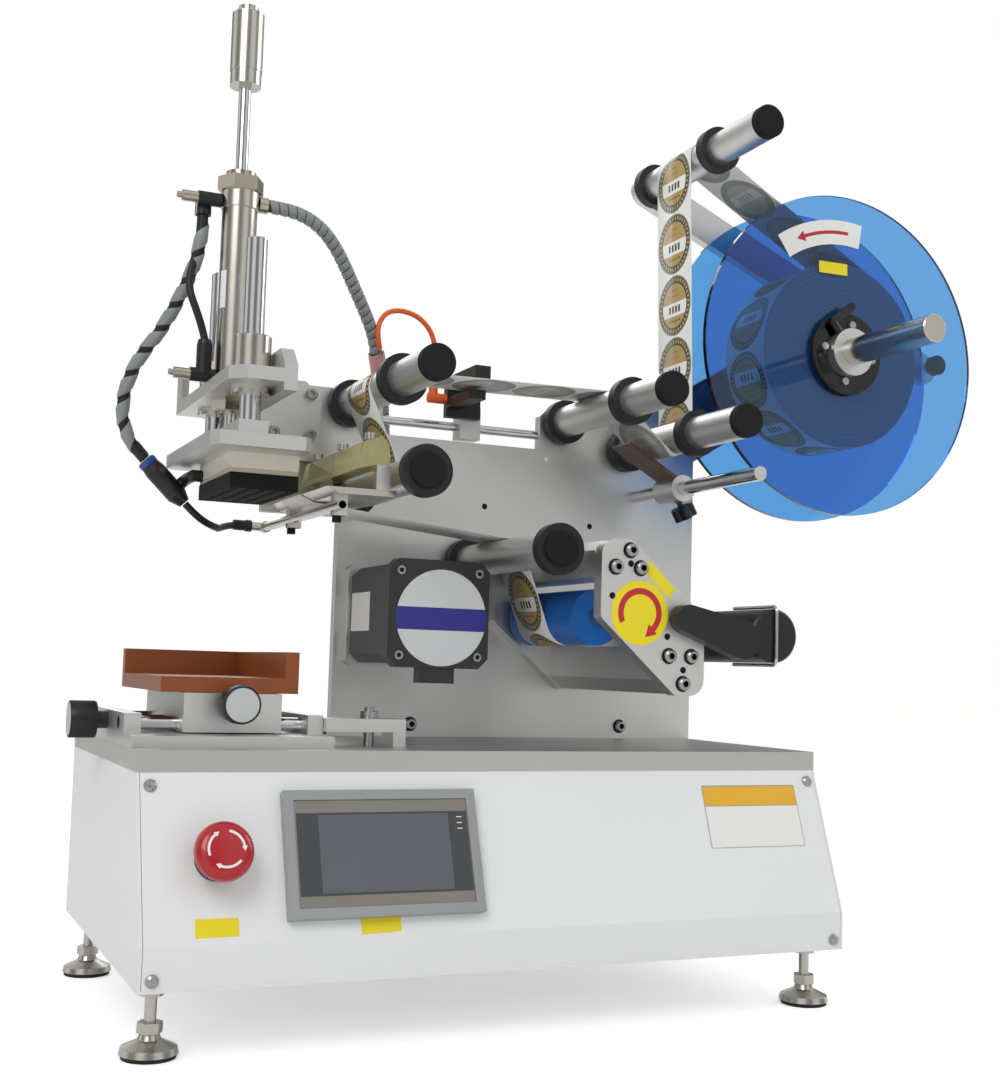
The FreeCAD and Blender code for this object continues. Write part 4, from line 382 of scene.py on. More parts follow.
def bent_along(name, mesh, line, finishes, ends=None):
    """Bends a mesh drawn along X on to a route. If ends is given, the piece stays in place on no
    body; what ends holds is not used.
    """
    piece = as_object(name, mesh, *finishes)
    follow = piece.modifiers.new("follow", "CURVE")
    follow.object = line
    follow.deform_axis = "POS_X"
    bent = settled(piece)
    piece.modifiers.clear()
    piece.data = bent
    bent.set_sharp_from_angle(angle=math.radians(50))
    bpy.data.objects.remove(line)
    if ends:
        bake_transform(piece)
    else:
        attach(piece, "root")
    return piece


def straight_tube(length, wide, sides=16):
    """A plain tube of a width in mm along X, in rings about 3 mm apart so that it can bend."""
    mesh = bmesh.new()
    rim = bmesh.ops.create_circle(mesh, segments=sides, radius=wide * MM / 2)["verts"]
    bmesh.ops.rotate(mesh, cent=(0, 0, 0), matrix=Matrix.Rotation(math.pi / 2, 3, "Y"), verts=rim)
    steps = max(20, int(length / (3 * MM)))
    bmesh.ops.spin(mesh, geom=mesh.verts[:] + mesh.edges[:], cent=(0, 0, 0), axis=(1, 0, 0),
                   angle=0, dvec=(length / steps, 0, 0), steps=steps)
    loops = [edge for edge in mesh.edges if edge.is_boundary]
    bmesh.ops.holes_fill(mesh, edges=loops, sides=0)
    bmesh.ops.recalc_face_normals(mesh, faces=mesh.faces)
    return mesh


def lay_hose(name, places, shape, finishes, replaced, ends=None):
    line = route(name + "_line", places)
    path, length = line_of(line)
    hose = bent_along(name, shape(length), line, finishes, ends)
    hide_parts(replaced)
    print(name, round(length, 3), "m")


# %% Wrapped hoses
def wrapped(length, core, wide, pitch, strip, thick):
    """A straight core with a strip wound round it, as a spin that moves along X."""
    mesh = straight_tube(length, core)
    before = set(mesh.faces)
    inner, outer = wide / 2 - thick, wide / 2
    corners = [(0, inner + thick * 0.25), (strip * 0.12, outer), (strip * 0.88, outer),
               (strip, inner + thick * 0.25)]
    row = [mesh.verts.new(spot(x, 0, z)) for x, z in corners]
    edges = [mesh.edges.new(pair) for pair in zip(row, row[1:] + row[:1])]
    turns = (length - strip * MM) / (pitch * MM)
    steps = int(turns * 20)
    bmesh.ops.spin(mesh, geom=row + edges, cent=(0, 0, 0), axis=(1, 0, 0), angle=turns * math.tau,
                   dvec=(turns * pitch * MM / steps, 0, 0), steps=steps)
    made = [face for face in mesh.faces if face not in before]
    for face in made:
        face.material_index = 1
    bmesh.ops.recalc_face_normals(mesh, faces=made)
    return mesh


CONDUIT_ROUTE = [
    (-170, 4, 625), (-154, 4, 625), (-137, 6.5, 622.5), (-120.5, 12.5, 616), (-106, 21, 605),
    (-93, 31, 591), (-80, 42, 575.5), (-68.5, 51, 561.5), (-57.5, 60, 546), (-49, 71, 527),
    (-38, 88, 504), (-31, 99, 478), (-28, 105, 446), (-34, 108, 408), (-45, 110, 369),
    (-56, 111.5, 330), (-62.5, 111.5, 291), (-64, 110.5, 255), (-62.5, 110, 227), (-62, 110, 200),
]
lay_hose("conduit_wrap", CONDUIT_ROUTE,
         lambda length: wrapped(length, core=9.6, wide=11, pitch=7.5, strip=6.8, thick=0.9),
         [BLACK_MOULDED, GREY_WRAP], "conduit_hose")
lay_hose("bundle_wrap", [
    (-219.5, 12, 612), (-219.5, 12, 595), (-221.7, 15.6, 578), (-226.7, 22.8, 560),
    (-234, 32, 541), (-243, 41.5, 521), (-253.5, 50.5, 506), (-260.7, 59.2, 490.6),
    (-264.4, 67, 475.2), (-264.7, 73.5, 460.3), (-261.3, 78, 446.2),
    (-254.2, 80, 433.4), (-243.4, 79, 422.4)],
    lambda length: wrapped(length, core=9.0, wide=11, pitch=22, strip=16, thick=1.0),
    [BLACK_RUBBER, GREY_WRAP], "bundle_hose",
    ("root", "press_head", spot(-219.5, 12, 600), spot(-250, 79, 430)))

# %% Plain hoses and the sensor cable
AIR_HOSE, SENSOR_CABLE = 6, 4.5
lay_hose("cylinder_air_hose", [
    (-222.5, 16, 580), (-227.5, 12.5, 566), (-228.5, 7, 549), (-223, 4, 534), (-218, 4, 521),
    (-215, 4, 510.4)], lambda length: straight_tube(length, AIR_HOSE),
    [BLACK_RUBBER], "cylinder_hose")
lay_hose("blow_air_hose", [
    (-209.6, 76, 388.1), (-200.9, 75.2, 379.3), (-189.7, 79.4, 373.1), (-177.9, 90.6, 371),
    (-174.1, 108.1, 372.2), (-163.9, 120.8, 376.3), (-152.7, 126, 378), (-141, 126, 378)],
    lambda length: straight_tube(length, AIR_HOSE), [BLACK_RUBBER], "blow_hose",
    ("press_head", "root", spot(-205, 76, 384), spot(-145, 126, 378)))
lay_hose("sensor_lead", [
    (1, 62, 508.3), (1, 62, 524), (1.5, 61, 541), (-4, 60, 556), (-17, 60, 567), (-33, 60, 570),
    (-46.5, 57.5, 566), (-54.5, 54, 555), (-56, 52.4, 543), (-51.5, 57.6, 533)],
    lambda length: straight_tube(length, SENSOR_CABLE), [ORANGE_CABLE],
    "sensor_cable", ("label_sensor", "root", spot(1, 62, 515), spot(-50, 56, 560)))

# %% [markdown]
# ## Floor, lamps and surroundings
# A product photograph has light from all sides. The world gives most of it, in five soft upright
# bands with darker gaps, because polished rods look like metal only when they mirror both. One
# large lamp from the upper left shapes the parts, and weak ones keep the shadows open. What the
# camera and clear plastic see behind the machine is plain white.

# %% Surroundings
BANDS, BAND_START = 5, 0.6
GAP_LIGHT, BAND_LIGHT = 0.28, 0.88
world = bpy.data.worlds.new("studio")
scene.world = world
world.use_nodes = True
tree = world.node_tree
tree.nodes.clear()
ray = add(tree, "LightPath").outputs
seen = add(tree, "Math", {0: ray["Is Camera Ray"], 1: ray["Is Transmission Ray"]},
           operation="MAXIMUM").outputs[0]
way = add(tree, "SeparateXYZ", {0: add(tree, "TexCoord").outputs["Generated"]}).outputs
turn = add(tree, "Math", {0: way[1], 1: way[0]}, operation="ARCTAN2").outputs[0]
turn = add(tree, "Math", {0: turn, 1: BANDS, 2: BAND_START},
           operation="MULTIPLY_ADD").outputs[0]
wave = add(tree, "Math", {0: turn}, operation="SINE").outputs[0]
wave = add(tree, "MapRange", {"Value": wave, "From Min": -0.6, "From Max": 0.5,
                              "To Min": GAP_LIGHT, "To Max": BAND_LIGHT}).outputs[0]
rise = add(tree, "MapRange", {"Value": way[2], "To Min": 0.9, "To Max": 1.3}).outputs[0]
power = add(tree, "Math", {0: wave, 1: rise}, operation="MULTIPLY").outputs[0]
soft = add(tree, "Background", {"Color": linear("#F5F5F3"), "Strength": power}).outputs[0]
white = add(tree, "Background", {"Color": linear("#FFFFFF"), "Strength": 1.0}).outputs[0]
room = add(tree, "MixShader", {0: seen, 1: soft, 2: white}).outputs[0]
add(tree, "OutputWorld", {"Surface": room})


def lamp(name, place, aim, wide, power):
    """A square soft lamp, in metres and watts."""
    data = bpy.data.lights.new(name, "AREA")
    data.size = wide
    data.energy = power
    piece = bpy.data.objects.new(name, data)
    piece.location = place
    piece.rotation_euler = (Vector(aim) - Vector(place)).to_track_quat("-Z", "Y").to_euler()
    scene.collection.objects.link(piece)


lamp("key lamp", (-1.5, -1.7, 2.0), (0, 0, 0.35), 1.3, 22)
lamp("right lamp", (2.3, -0.2, 1.5), (0.1, 0, 0.35), 1.2, 12)
lamp("back lamp", (0.2, 2.0, 1.6), (0, 0, 0.4), 1.2, 9)

FLOOR_RADIUS, FLOOR_GLOW = 25, 0.45
floor_finish, tree, shader = begin("matt white laminate")
shader.inputs["Base Color"].default_value = linear("#F4F4F3")
shader.inputs["Roughness"].default_value = 0.7
ray = add(tree, "LightPath").outputs
glow = add(tree, "Emission", {"Color": linear("#FFFFFF"), "Strength": FLOOR_GLOW}).outputs[0]
lit = add(tree, "AddShader", {0: shader.outputs[0], 1: glow}).outputs[0]
shown = add(tree, "MixShader",
            {0: ray["Is Camera Ray"], 1: shader.outputs[0], 2: lit}).outputs[0]
join(tree, shown, tree.nodes["Material Output"], "Surface")
mesh = bmesh.new()
bmesh.ops.create_circle(mesh, cap_ends=True, segments=96, radius=FLOOR_RADIUS)
as_object("floor", mesh, floor_finish)
print("lamps and floor are set")

# %% [markdown]
# ## Finishes on the CAD parts
# A CAD part often holds pieces of several materials, such as a roller's tube, cap and collars. The
# parts keep their shapes. Each face is given the finish of the first rule that its middle meets,
# and the finish named before the rules is for all the rest.

# %% Finishing tool
def paint(node, rest, *rules):
    """Gives a CAD part its finishes: rest, and one for the faces that each rule's test picks."""
    part = nodes[node]
    part.data.materials.clear()
    part.data.materials.append(rest)
    for _, material in rules:
        part.data.materials.append(material)
    for face in part.data.polygons:
        x, y, z = face.center / MM
        face.material_index = next(
            (place for place, (test, _) in enumerate(rules, start=1) if test(x, y, z)), 0)


def from_axis(x, z, axis):
    """How far a place is from an axis that runs from front to back, in mm."""
    return math.hypot(x - axis[0], z - axis[1])


# %% Cabinet finishes
paint("cabinet_shell", POWDER_COAT)
paint("front_panel", POWDER_COAT)
paint("lid_plate", LID_STEEL, (lambda x, y, z: z > 199.05, BLACK_MOULDED))
paint("levelling_feet", STAINLESS, (lambda x, y, z: z < 2.9, BLACK_RUBBER))
paint("touch_panel", GREY_PANEL)
paint("stop_base", BLACK_STEEL_AND_PAINTED_SHADE)
paint("stop_stem", BLACK_MOULDED)
paint("control_gear", GREY_PANEL)
print("cabinet finished")

# %% Plate and press head finishes
for part in ("main_plate", "plate_brackets", "head_mount_plate", "press_plates", "reel_arm"):
    paint(part, PLATE_ALUMINIUM)
paint("head_bracket", PLATE_ALUMINIUM,
      (lambda x, y, z: (z > 475.3 or z < 465) and x < -176.5 and math.hypot(
          x + 191, abs(y - 4) - 57.5) < 15, STAINLESS))
paint("air_cylinder", STAINLESS, (lambda x, y, z: z > 632.2 or z < 466, NICKEL))
paint("head_rods", CHROME, (lambda x, y, z: z > 719.4, STAINLESS))
paint("vacuum_box", IVORY_ACRYLIC, (lambda x, y, z: z < 405.2, AGED_ACRYLIC))
paint("air_fittings", BLACK_MOULDED, (lambda x, y, z: x < -225 or x > -177.5, NICKEL))
paint("vacuum_ejector", BLACK_MOULDED)
paint("peel_plate", STAINLESS)
paint("presser_bar", YELLOWED_ACRYLIC,
      (lambda x, y, z: z < 409.9 and x > -102.2, PLATE_ALUMINIUM),
      (lambda x, y, z: abs(x + 105) < 4.6 and min(abs(y + 82), abs(y + 16), abs(y - 50)) < 4.6,
       STAINLESS))
paint("blow_tube", PLATE_ALUMINIUM,
      (lambda x, y, z: math.hypot(x + 128, z - 378) < 5.2 or y > 121, STAINLESS),
      (lambda x, y, z: z < 371.1, BLACK_STEEL_AND_PAINTED_SHADE))
print("press head finished")

# %% Roller finishes
ROLLERS = {"top_roller": ((222, 724), -128), "feed_roller": ((200, 467), -135),
           "sensor_roller": ((132, 487), -131), "bend_roller": ((-73, 483.5), -138),
           "peel_roller": ((-69, 406.1), -116), "liner_roller": ((40, 353.5), -124)}
for name, (axis, end) in ROLLERS.items():
    paint(name, BRUSHED_ALUMINIUM,
          (lambda x, y, z: y < end + 8.05 and from_axis(x, z, axis) < 14.05, BLACK_CAP),
          (lambda x, y, z: from_axis(x, z, axis) > 14.1 or y > 57.9, BLACK_RUBBER))
paint("axles_and_rods", CHROME)
paint("top_bar", PLATE_ALUMINIUM, (lambda x, y, z: 47.9 < y < 56.1, BLACK_RUBBER),
      (lambda x, y, z: y < 71, CHROME))
print("rollers finished", len(ROLLERS))

# %% Reel finishes
REEL = (372, 560)
paint("reel_shaft", STAINLESS,
      (lambda x, y, z: 33.9 < y < 39.1 and from_axis(x, z, REEL) > 38, BLUE_ACRYLIC),
      (lambda x, y, z: -27.2 < y < 34.1 and from_axis(x, z, REEL) > 13, GREY_CAP),
      (lambda x, y, z: 38.9 < y < 45.1 and from_axis(x, z, REEL) > 13, BLACK_MOULDED))
paint("clamp_lever", BLACK_MOULDED)
paint("label_sensor", BLACK_MOULDED,
      (lambda x, y, z: x > 28.9 and y > 65.9, PLATE_ALUMINIUM),
      (lambda x, y, z: x < 12.9, ORANGE_CABLE))

# %% Drive finishes
DRIVE, TAKE_UP, FLAP = (98.5, 304), (232, 293), (213, 424.5)
paint("step_motor", MOTOR_PAINT, (lambda x, y, z: y > 60.9, PLATE_ALUMINIUM))
paint("motor_pulley", PLATE_ALUMINIUM)
paint("traction_frame", PLATE_ALUMINIUM)
paint("drive_roller", STAINLESS,
      (lambda x, y, z: -70.1 < y < 50.1 and from_axis(x, z, DRIVE) > 7.6, DRIVE_RUBBER),
      (lambda x, y, z: y > 86, PLATE_ALUMINIUM))
paint("pinch_roller", BLACK_RUBBER)
paint("pinch_lever", STAINLESS, (lambda x, y, z: y < -140.2, BLACK_MOULDED))
paint("take_up_shaft", BLACK_MOULDED,
      (lambda x, y, z: y < -65 and from_axis(x, z, TAKE_UP) > 22.2, CHROME),
      (lambda x, y, z: y < -129.2, CHROME))
paint("drive_belts", BELT_RUBBER)
paint("web_flap", PLATE_ALUMINIUM,
      (lambda x, y, z: from_axis(x, z, FLAP) > 12.2, LEAF_PHENOLIC))
paint("flap_knob", BLACK_MOULDED)

# %% Table finishes
paint("table_base", PLATE_ALUMINIUM,
      (lambda x, y, z: z > 207.2 and math.hypot(abs(y - 5) - 50, z - 213.8) < 5.1, CHROME))
paint("cross_carriage", PLATE_ALUMINIUM)
paint("nest_tray", PHENOLIC, (lambda x, y, z: z < 236.7, PLATE_ALUMINIUM))
paint("hold_down_clamp", PLATE_ALUMINIUM,
      (lambda x, y, z: z > 219.7 or math.hypot(x + 91, y + 62.5) < 4.3, ZINC))
unfinished = [name for name, part in nodes.items() if not part.data.materials]
print("table finished, parts without a finish:", unfinished)

# %% [markdown]
# ## Printed labels
# The labels are round stickers on a white strip, one every 57 mm. Their print is drawn on the
# strip's own UV map: across it, and along it with one whole number for each label. Rings come from
# a ramp on the distance from a label's middle, and the bars and marks from simple comparisons. The
# back of the strip shows the same labels faintly, as paper does.

# %% Label finish
PITCH, STRIP_START, STRIP_WIDE = 57, -25, 58
RAMP_REACH, LABEL_RADIUS, DOTS, BAR_SPACING = 30, 27.3, 34, 5.2


def across_strip(y):
    """The share of the strip's width at a place in metres."""
    return (y / MM - STRIP_START) / STRIP_WIDE


def label_film(name, rings, marks, rough):
    """Round labels on a liner: rings by radius in mm, then marks by place along and across."""
    material, tree, shader = begin(name)
    place = add(tree, "SeparateXYZ", {0: add(tree, "TexCoord").outputs["UV"]}).outputs
    cell = add(tree, "Math", {0: place[0]}, operation="FRACT").outputs[0]
    along = add(tree, "MapRange", {"Value": cell, "To Min": -PITCH / 2,
                                   "To Max": PITCH / 2}).outputs[0]
    across = add(tree, "MapRange", {"Value": place[1], "To Min": -STRIP_WIDE / 2,
                                    "To Max": STRIP_WIDE / 2}).outputs[0]
    flat = add(tree, "CombineXYZ", {0: along, 1: across}).outputs[0]
    radius = add(tree, "VectorMath", {0: flat}, operation="LENGTH").outputs["Value"]
    share = add(tree, "Math", {0: radius, 1: RAMP_REACH}, operation="DIVIDE").outputs[0]
    ramp_node = add(tree, "ValToRGB", {"Fac": share})
    ramp = ramp_node.color_ramp
    ramp.interpolation = "CONSTANT"
    ramp.elements.remove(ramp.elements[1])
    ramp.elements[0].color = linear(rings[0][1])
    for edge, code in rings[1:]:
        ramp.elements.new(edge / RAMP_REACH).color = linear(code)
    tint = ramp_node.outputs[0]
    turn = add(tree, "Math", {0: across, 1: along}, operation="ARCTAN2").outputs[0]
    tooth = add(tree, "Math", {0: turn, 1: DOTS / math.tau}, operation="MULTIPLY").outputs[0]
    tooth = add(tree, "Math", {0: tooth}, operation="FRACT").outputs[0]
    dash = add(tree, "Math", {0: across, 1: BAR_SPACING}, operation="DIVIDE").outputs[0]
    dash = add(tree, "Math", {0: dash}, operation="FRACT").outputs[0]
    sources = {"along": along, "across": across, "radius": radius, "tooth": tooth, "dash": dash}
    for code, rules in marks:
        mask = 1.0
        for source, middle, half in rules:
            hit = add(tree, "Math", {0: sources[source], 1: middle, 2: half},
                      operation="COMPARE").outputs[0]
            mask = add(tree, "Math", {0: mask, 1: hit}, operation="MULTIPLY").outputs[0]
        tint = add(tree, "Mix", {0: mask, 6: tint, 7: linear(code)}, data_type="RGBA").outputs[2]
    raised = add(tree, "Math", {0: radius, 1: LABEL_RADIUS}, operation="LESS_THAN").outputs[0]
    relief = add(tree, "Bump", {"Height": raised, "Distance": 0.1 * MM, "Strength": 0.7}).outputs[0]
    shader.inputs["Roughness"].default_value = rough
    join(tree, tint, shader, "Base Color")
    join(tree, relief, shader, "Normal")
    return material


LABEL_FRONT = label_film(
    "printed paper label on liner",
    [(0, "#B79C5F"), (20.3, "#2F2B22"), (21, "#57523F"), (26.4, "#A89C78"), (27.1, "#2F2B22"),
     (27.5, "#F1F1EF")],
    [("#B9AE8C", [("radius", 23.7, 1.5), ("tooth", 0.5, 0.22)]),
     ("#F4F3EF", [("along", 3.5, 6.2), ("radius", 10, 10.3)]),
     ("#2A2620", [("along", 3.5, 3.2), ("dash", 0.5, 0.3), ("across", 0, 10.4)]),
     ("#7A5A2C", [("along", 14, 0.9), ("dash", 0.5, 0.36), ("across", 0, 10.4)]),
     ("#8A6A38", [("along", -9, 0.8), ("dash", 0.5, 0.2), ("across", 0, 7.8)]),
     ("#8A6A38", [("along", -14, 0.8), ("dash", 0.5, 0.2), ("across", 0, 5.2)])],
    0.42)
LABEL_BACK = label_film(
    "label seen through its liner",
    [(0, "#B4B4AD"), (20.5, "#9C9C95"), (27, "#8F8F89"), (27.5, "#EDEDEB")],
    [("#C9C9C4", [("along", 3.5, 6.2), ("radius", 10, 10.3)]),
     ("#A9A9A3", [("along", 3.5, 3.2), ("dash", 0.5, 0.3), ("across", 0, 10.4)])],
    0.5)
LINER = solid_colour("white silicone liner", "#EFEFED", 0.4, 1.2, height=0.01, shift=0.02)
print("label finishes made")

# %% [markdown]
# ## The web on its way
# The strip leaves the reel, passes the rollers, folds back over the sharp edge where the labels
# peel off, and is drawn through the traction unit. It is one edge, 58 mm wide, that is extruded
# along each straight run and turned step by step round each roller. The distance it has gone is
# kept for every point, because the labels are printed by that distance.

# %% Web path
ROLLER_WRAP, PEEL_EDGE = 14.5, 0.5
STOPS = [(REEL, 87.5, -1)]
STOPS += [(ROLLERS[name][0], ROLLER_WRAP, way) for name, way in (
    ("top_roller", -1), ("feed_roller", 1), ("sensor_roller", -1), ("bend_roller", -1),
    ("peel_roller", 1))]
STOPS += [((-140.6, 391.1), PEEL_EDGE, -1), ((-130.6, 386.3), PEEL_EDGE, -1),
          (ROLLERS["liner_roller"][0], ROLLER_WRAP, 1), (DRIVE, 23.5, -1),
          ((132.9, 303), 10.91, 1), (TAKE_UP, 22.5, -1)]
PEEL_STOP, LINER_STOP = 6, 8


def run_between(one, other):
    """Where the straight run from one roller to the next starts and ends: 1 turns clockwise."""
    (centre, radius, way), (next_centre, next_radius, next_way) = one, other
    gap = Vector(next_centre) - Vector(centre)
    far = next_radius if way == next_way else -next_radius
    lie = math.atan2(gap.y, gap.x) + way * math.acos((radius - far) / gap.length)
    out = Vector((math.cos(lie), math.sin(lie)))
    return Vector(centre) + out * radius, Vector(next_centre) + out * far


def next_row(mesh, edge, travel, distance, finish):
    """Extrudes the strip's last edge and notes how far along the new row lies."""
    gone = travel[edge.verts[0]]
    made = bmesh.ops.extrude_edge_only(mesh, edges=[edge])["geom"]
    row = verts_of(made)
    for vert in row:
        travel[vert] = gone + distance
    for item in made:
        if isinstance(item, bmesh.types.BMFace):
            item.material_index = finish
    new_edge = [item for item in made if isinstance(item, bmesh.types.BMEdge)
                and set(item.verts) == set(row)]
    return row, new_edge[0]


# %% Web of labels
runs = [run_between(one, other) for one, other in zip(STOPS, STOPS[1:])]
mesh = bmesh.new()
row = [mesh.verts.new(spot(runs[0][0].x, y, runs[0][0].y))
       for y in (STRIP_START, STRIP_START + STRIP_WIDE)]
edge = mesh.edges.new(row)
travel = {vert: 0.0 for vert in row}
for number, (start, end) in enumerate(runs):
    bare = PEEL_STOP <= number < LINER_STOP
    shift = end - start
    row, edge = next_row(mesh, edge, travel, shift.length, 2 if bare else 0)
    bmesh.ops.translate(mesh, vec=spot(shift.x, 0, shift.y), verts=row)
    if number == len(runs) - 1:
        break
    if number + 1 == LINER_STOP:
        liner_start = travel[row[0]]
    centre, radius, way = STOPS[number + 1]
    first = math.atan2(end.y - centre[1], end.x - centre[0])
    after = runs[number + 1][0]
    last = math.atan2(after.y - centre[1], after.x - centre[0])
    sweep = way * (first - last) % math.tau
    bare = PEEL_STOP <= number + 1 < LINER_STOP
    steps = max(2, math.ceil(sweep / math.radians(7)))
    for _ in range(steps):
        row, edge = next_row(mesh, edge, travel, radius * sweep / steps, 2 if bare else 0)
        bmesh.ops.rotate(mesh, cent=spot(centre[0], 0, centre[1]), verts=row,
                         matrix=Matrix.Rotation(way * sweep / steps, 3, "Y"))
mesh.normal_update()
mesh.faces.ensure_lookup_table()
ahead = (runs[0][1] - runs[0][0]).normalized()
if mesh.faces[0].normal.dot(Vector((ahead.y, 0, -ahead.x))) < 0:
    bmesh.ops.reverse_faces(mesh, faces=mesh.faces)
chart = mesh.loops.layers.uv.new("strip")
LATE_SHIFT = 0.54
for face in mesh.faces:
    start = max(travel[vert] for vert in face.verts)
    shift = LATE_SHIFT if start > liner_start + 1 else 0
    for loop in face.loops:
        loop[chart].uv = (travel[loop.vert] / PITCH - shift, across_strip(loop.vert.co.y))
print("web", round(max(travel.values())), "mm long,", len(mesh.faces), "faces")
web = keep("label_strip", mesh, "root", LABEL_FRONT, LABEL_BACK, LINER, LINER, closed=False)
body_of_strip = web.modifiers.new("thickness", "SOLIDIFY")
body_of_strip.thickness = 0.34 * MM
body_of_strip.offset = 0
body_of_strip.material_offset = 1
body_of_strip.material_offset_rim = 3
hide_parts("label_web")

# %% [markdown]
# ## The roll
# A roll is hundreds of layers of strip. Its edge shows them as fine rings, drawn several times
# coarser than real, and its outside shows the labels. The ring is a spun outline, and the print
# runs round it on a UV map made from the angle.

# %% Roll of labels
CORE_RADIUS, ROLL_RADIUS, ROLL_FRONT, ROLL_BACK, ROLL_EDGE = 38.1, 87, -27.1, 33.7, 0.3
RINGS_PER_METRE = 900
layers, tree, shader = begin("wound paper edge")
place = add(tree, "TexCoord").outputs["Object"]
place = add(tree, "VectorMath", {0: place, 1: spot(REEL[0], 0, REEL[1])},
            operation="SUBTRACT").outputs[0]
place = add(tree, "VectorMath", {0: place, 1: (1, 0, 1)}, operation="MULTIPLY").outputs[0]
reach = add(tree, "VectorMath", {0: place}, operation="LENGTH").outputs["Value"]
layer = add(tree, "Math", {0: reach, 1: RINGS_PER_METRE}, operation="MULTIPLY").outputs[0]
stripes = add(tree, "TexNoise", {"W": layer, "Scale": 1, "Detail": 4},
              noise_dimensions="1D").outputs[0]
tint = add(tree, "Mix", {0: stripes, 6: linear("#8E8A78"), 7: linear("#F0EDE2")},
           data_type="RGBA").outputs[2]
relief = add(tree, "Bump", {"Height": stripes, "Distance": 0.2 * MM, "Strength": 0.5}).outputs[0]
shader.inputs["Roughness"].default_value = 0.7
join(tree, tint, shader, "Base Color")
join(tree, relief, shader, "Normal")

mesh = spin_outline([
    (CORE_RADIUS, ROLL_FRONT), (ROLL_RADIUS - ROLL_EDGE, ROLL_FRONT),
    (ROLL_RADIUS, ROLL_FRONT + ROLL_EDGE), (ROLL_RADIUS, ROLL_BACK - ROLL_EDGE),
    (ROLL_RADIUS - ROLL_EDGE, ROLL_BACK), (CORE_RADIUS, ROLL_BACK), (CORE_RADIUS, ROLL_FRONT)],
    steps=144)
chart = mesh.loops.layers.uv.new("strip")
for face in mesh.faces:
    middle = face.calc_center_median()
    if middle.xy.length < (ROLL_RADIUS - 0.5) * MM:
        continue
    face.material_index = 1
    lie = math.atan2(middle.y, middle.x)
    for loop in face.loops:
        place = loop.vert.co
        swing = (math.atan2(place.y, place.x) - lie + math.pi) % math.tau - math.pi
        loop[chart].uv = ((lie + swing) * ROLL_RADIUS / PITCH, across_strip(place.z))
mesh.transform(basis(spot(REEL[0], 0, REEL[1]), (0, 1, 0)))
roll = keep("wound_roll", mesh, "reel", layers, LABEL_FRONT)
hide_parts("label_roll")
print("roll has", len(roll.data.polygons), "faces")

# %% [markdown]
# ## Stickers and arrows
# A sticker is a flat drawing with a little thickness. Ring pieces and the shafts of curved arrows
# are an edge spun round a centre, and an arrow's head is a circle of three points. All are laid on
# their surface by one matrix. The tags of the machine are left bare.

# %% Flat shapes
def sector(mesh, inner, outer, start, sweep):
    """Adds a flat part of a ring: radii in mm, turns in degrees from X."""
    lean = Matrix.Rotation(math.radians(start), 3, "Z")
    row = [mesh.verts.new(lean @ spot(radius, 0, 0)) for radius in (inner, outer)]
    side = mesh.edges.new(row)
    bmesh.ops.spin(mesh, geom=row + [side], cent=(0, 0, 0), axis=(0, 0, 1),
                   angle=math.radians(sweep), steps=max(4, int(abs(sweep) / 3)))
    return mesh


def curved_arrow(radius, wide, start, sweep, head):
    """A flat arrow bent round its origin. A negative sweep points it clockwise."""
    mesh = sector(bmesh.new(), radius - wide / 2, radius + wide / 2, start, sweep)
    tip = bmesh.ops.create_circle(mesh, cap_ends=True, segments=3, radius=head * MM)["verts"]
    if sweep < 0:
        bmesh.ops.rotate(mesh, cent=(0, 0, 0), matrix=Matrix.Rotation(math.pi, 3, "Z"), verts=tip)
    bmesh.ops.translate(mesh, vec=spot(radius, math.copysign(head / 2, sweep), 0), verts=tip)
    bmesh.ops.rotate(mesh, cent=(0, 0, 0), verts=tip,
                     matrix=Matrix.Rotation(math.radians(start + sweep), 3, "Z"))
    return mesh


def round_flat(radius):
    mesh = bmesh.new()
    bmesh.ops.create_circle(mesh, cap_ends=True, segments=72, radius=radius * MM)
    return mesh


def stick(name, mesh, matrix, body, finish, thick=0.15, lift=0.0):
    """Gives a flat drawing a thickness in mm and lays it on a surface."""
    thicken(mesh, (0, 0, thick * MM))
    mesh.transform(matrix @ Matrix.Translation((0, 0, lift * MM)))
    return keep(name, mesh, body, finish)


def tilt(degrees):
    """A turn in a piece's own plane."""
    return Matrix.Rotation(math.radians(degrees), 4, "Z")


def tag(name, wide, high, matrix, body, finish):
    """A plain tag with slightly rounded corners."""
    mesh = thin_plate(wide, high, 0.15, corner=0.6)
    mesh.transform(matrix)
    return keep(name, mesh, body, finish)


# %% Reel sticker and tags
disc_face = facing(REEL[0], -32.4, REEL[1])
stick("turn_sticker", sector(bmesh.new(), 104, 127, 81, 45), disc_face, "front_disc", WHITE_VINYL)
stick("turn_arrow", curved_arrow(115.5, 3.2, 88, 25, 6), disc_face, "front_disc", RED_VINYL,
      thick=0.1, lift=0.15)
tag("reel_tag", 32, 11, facing(359.5, -32.4, 640.5) @ tilt(1.1459), "front_disc", YELLOW_VINYL)
print("reel sticker and tag")

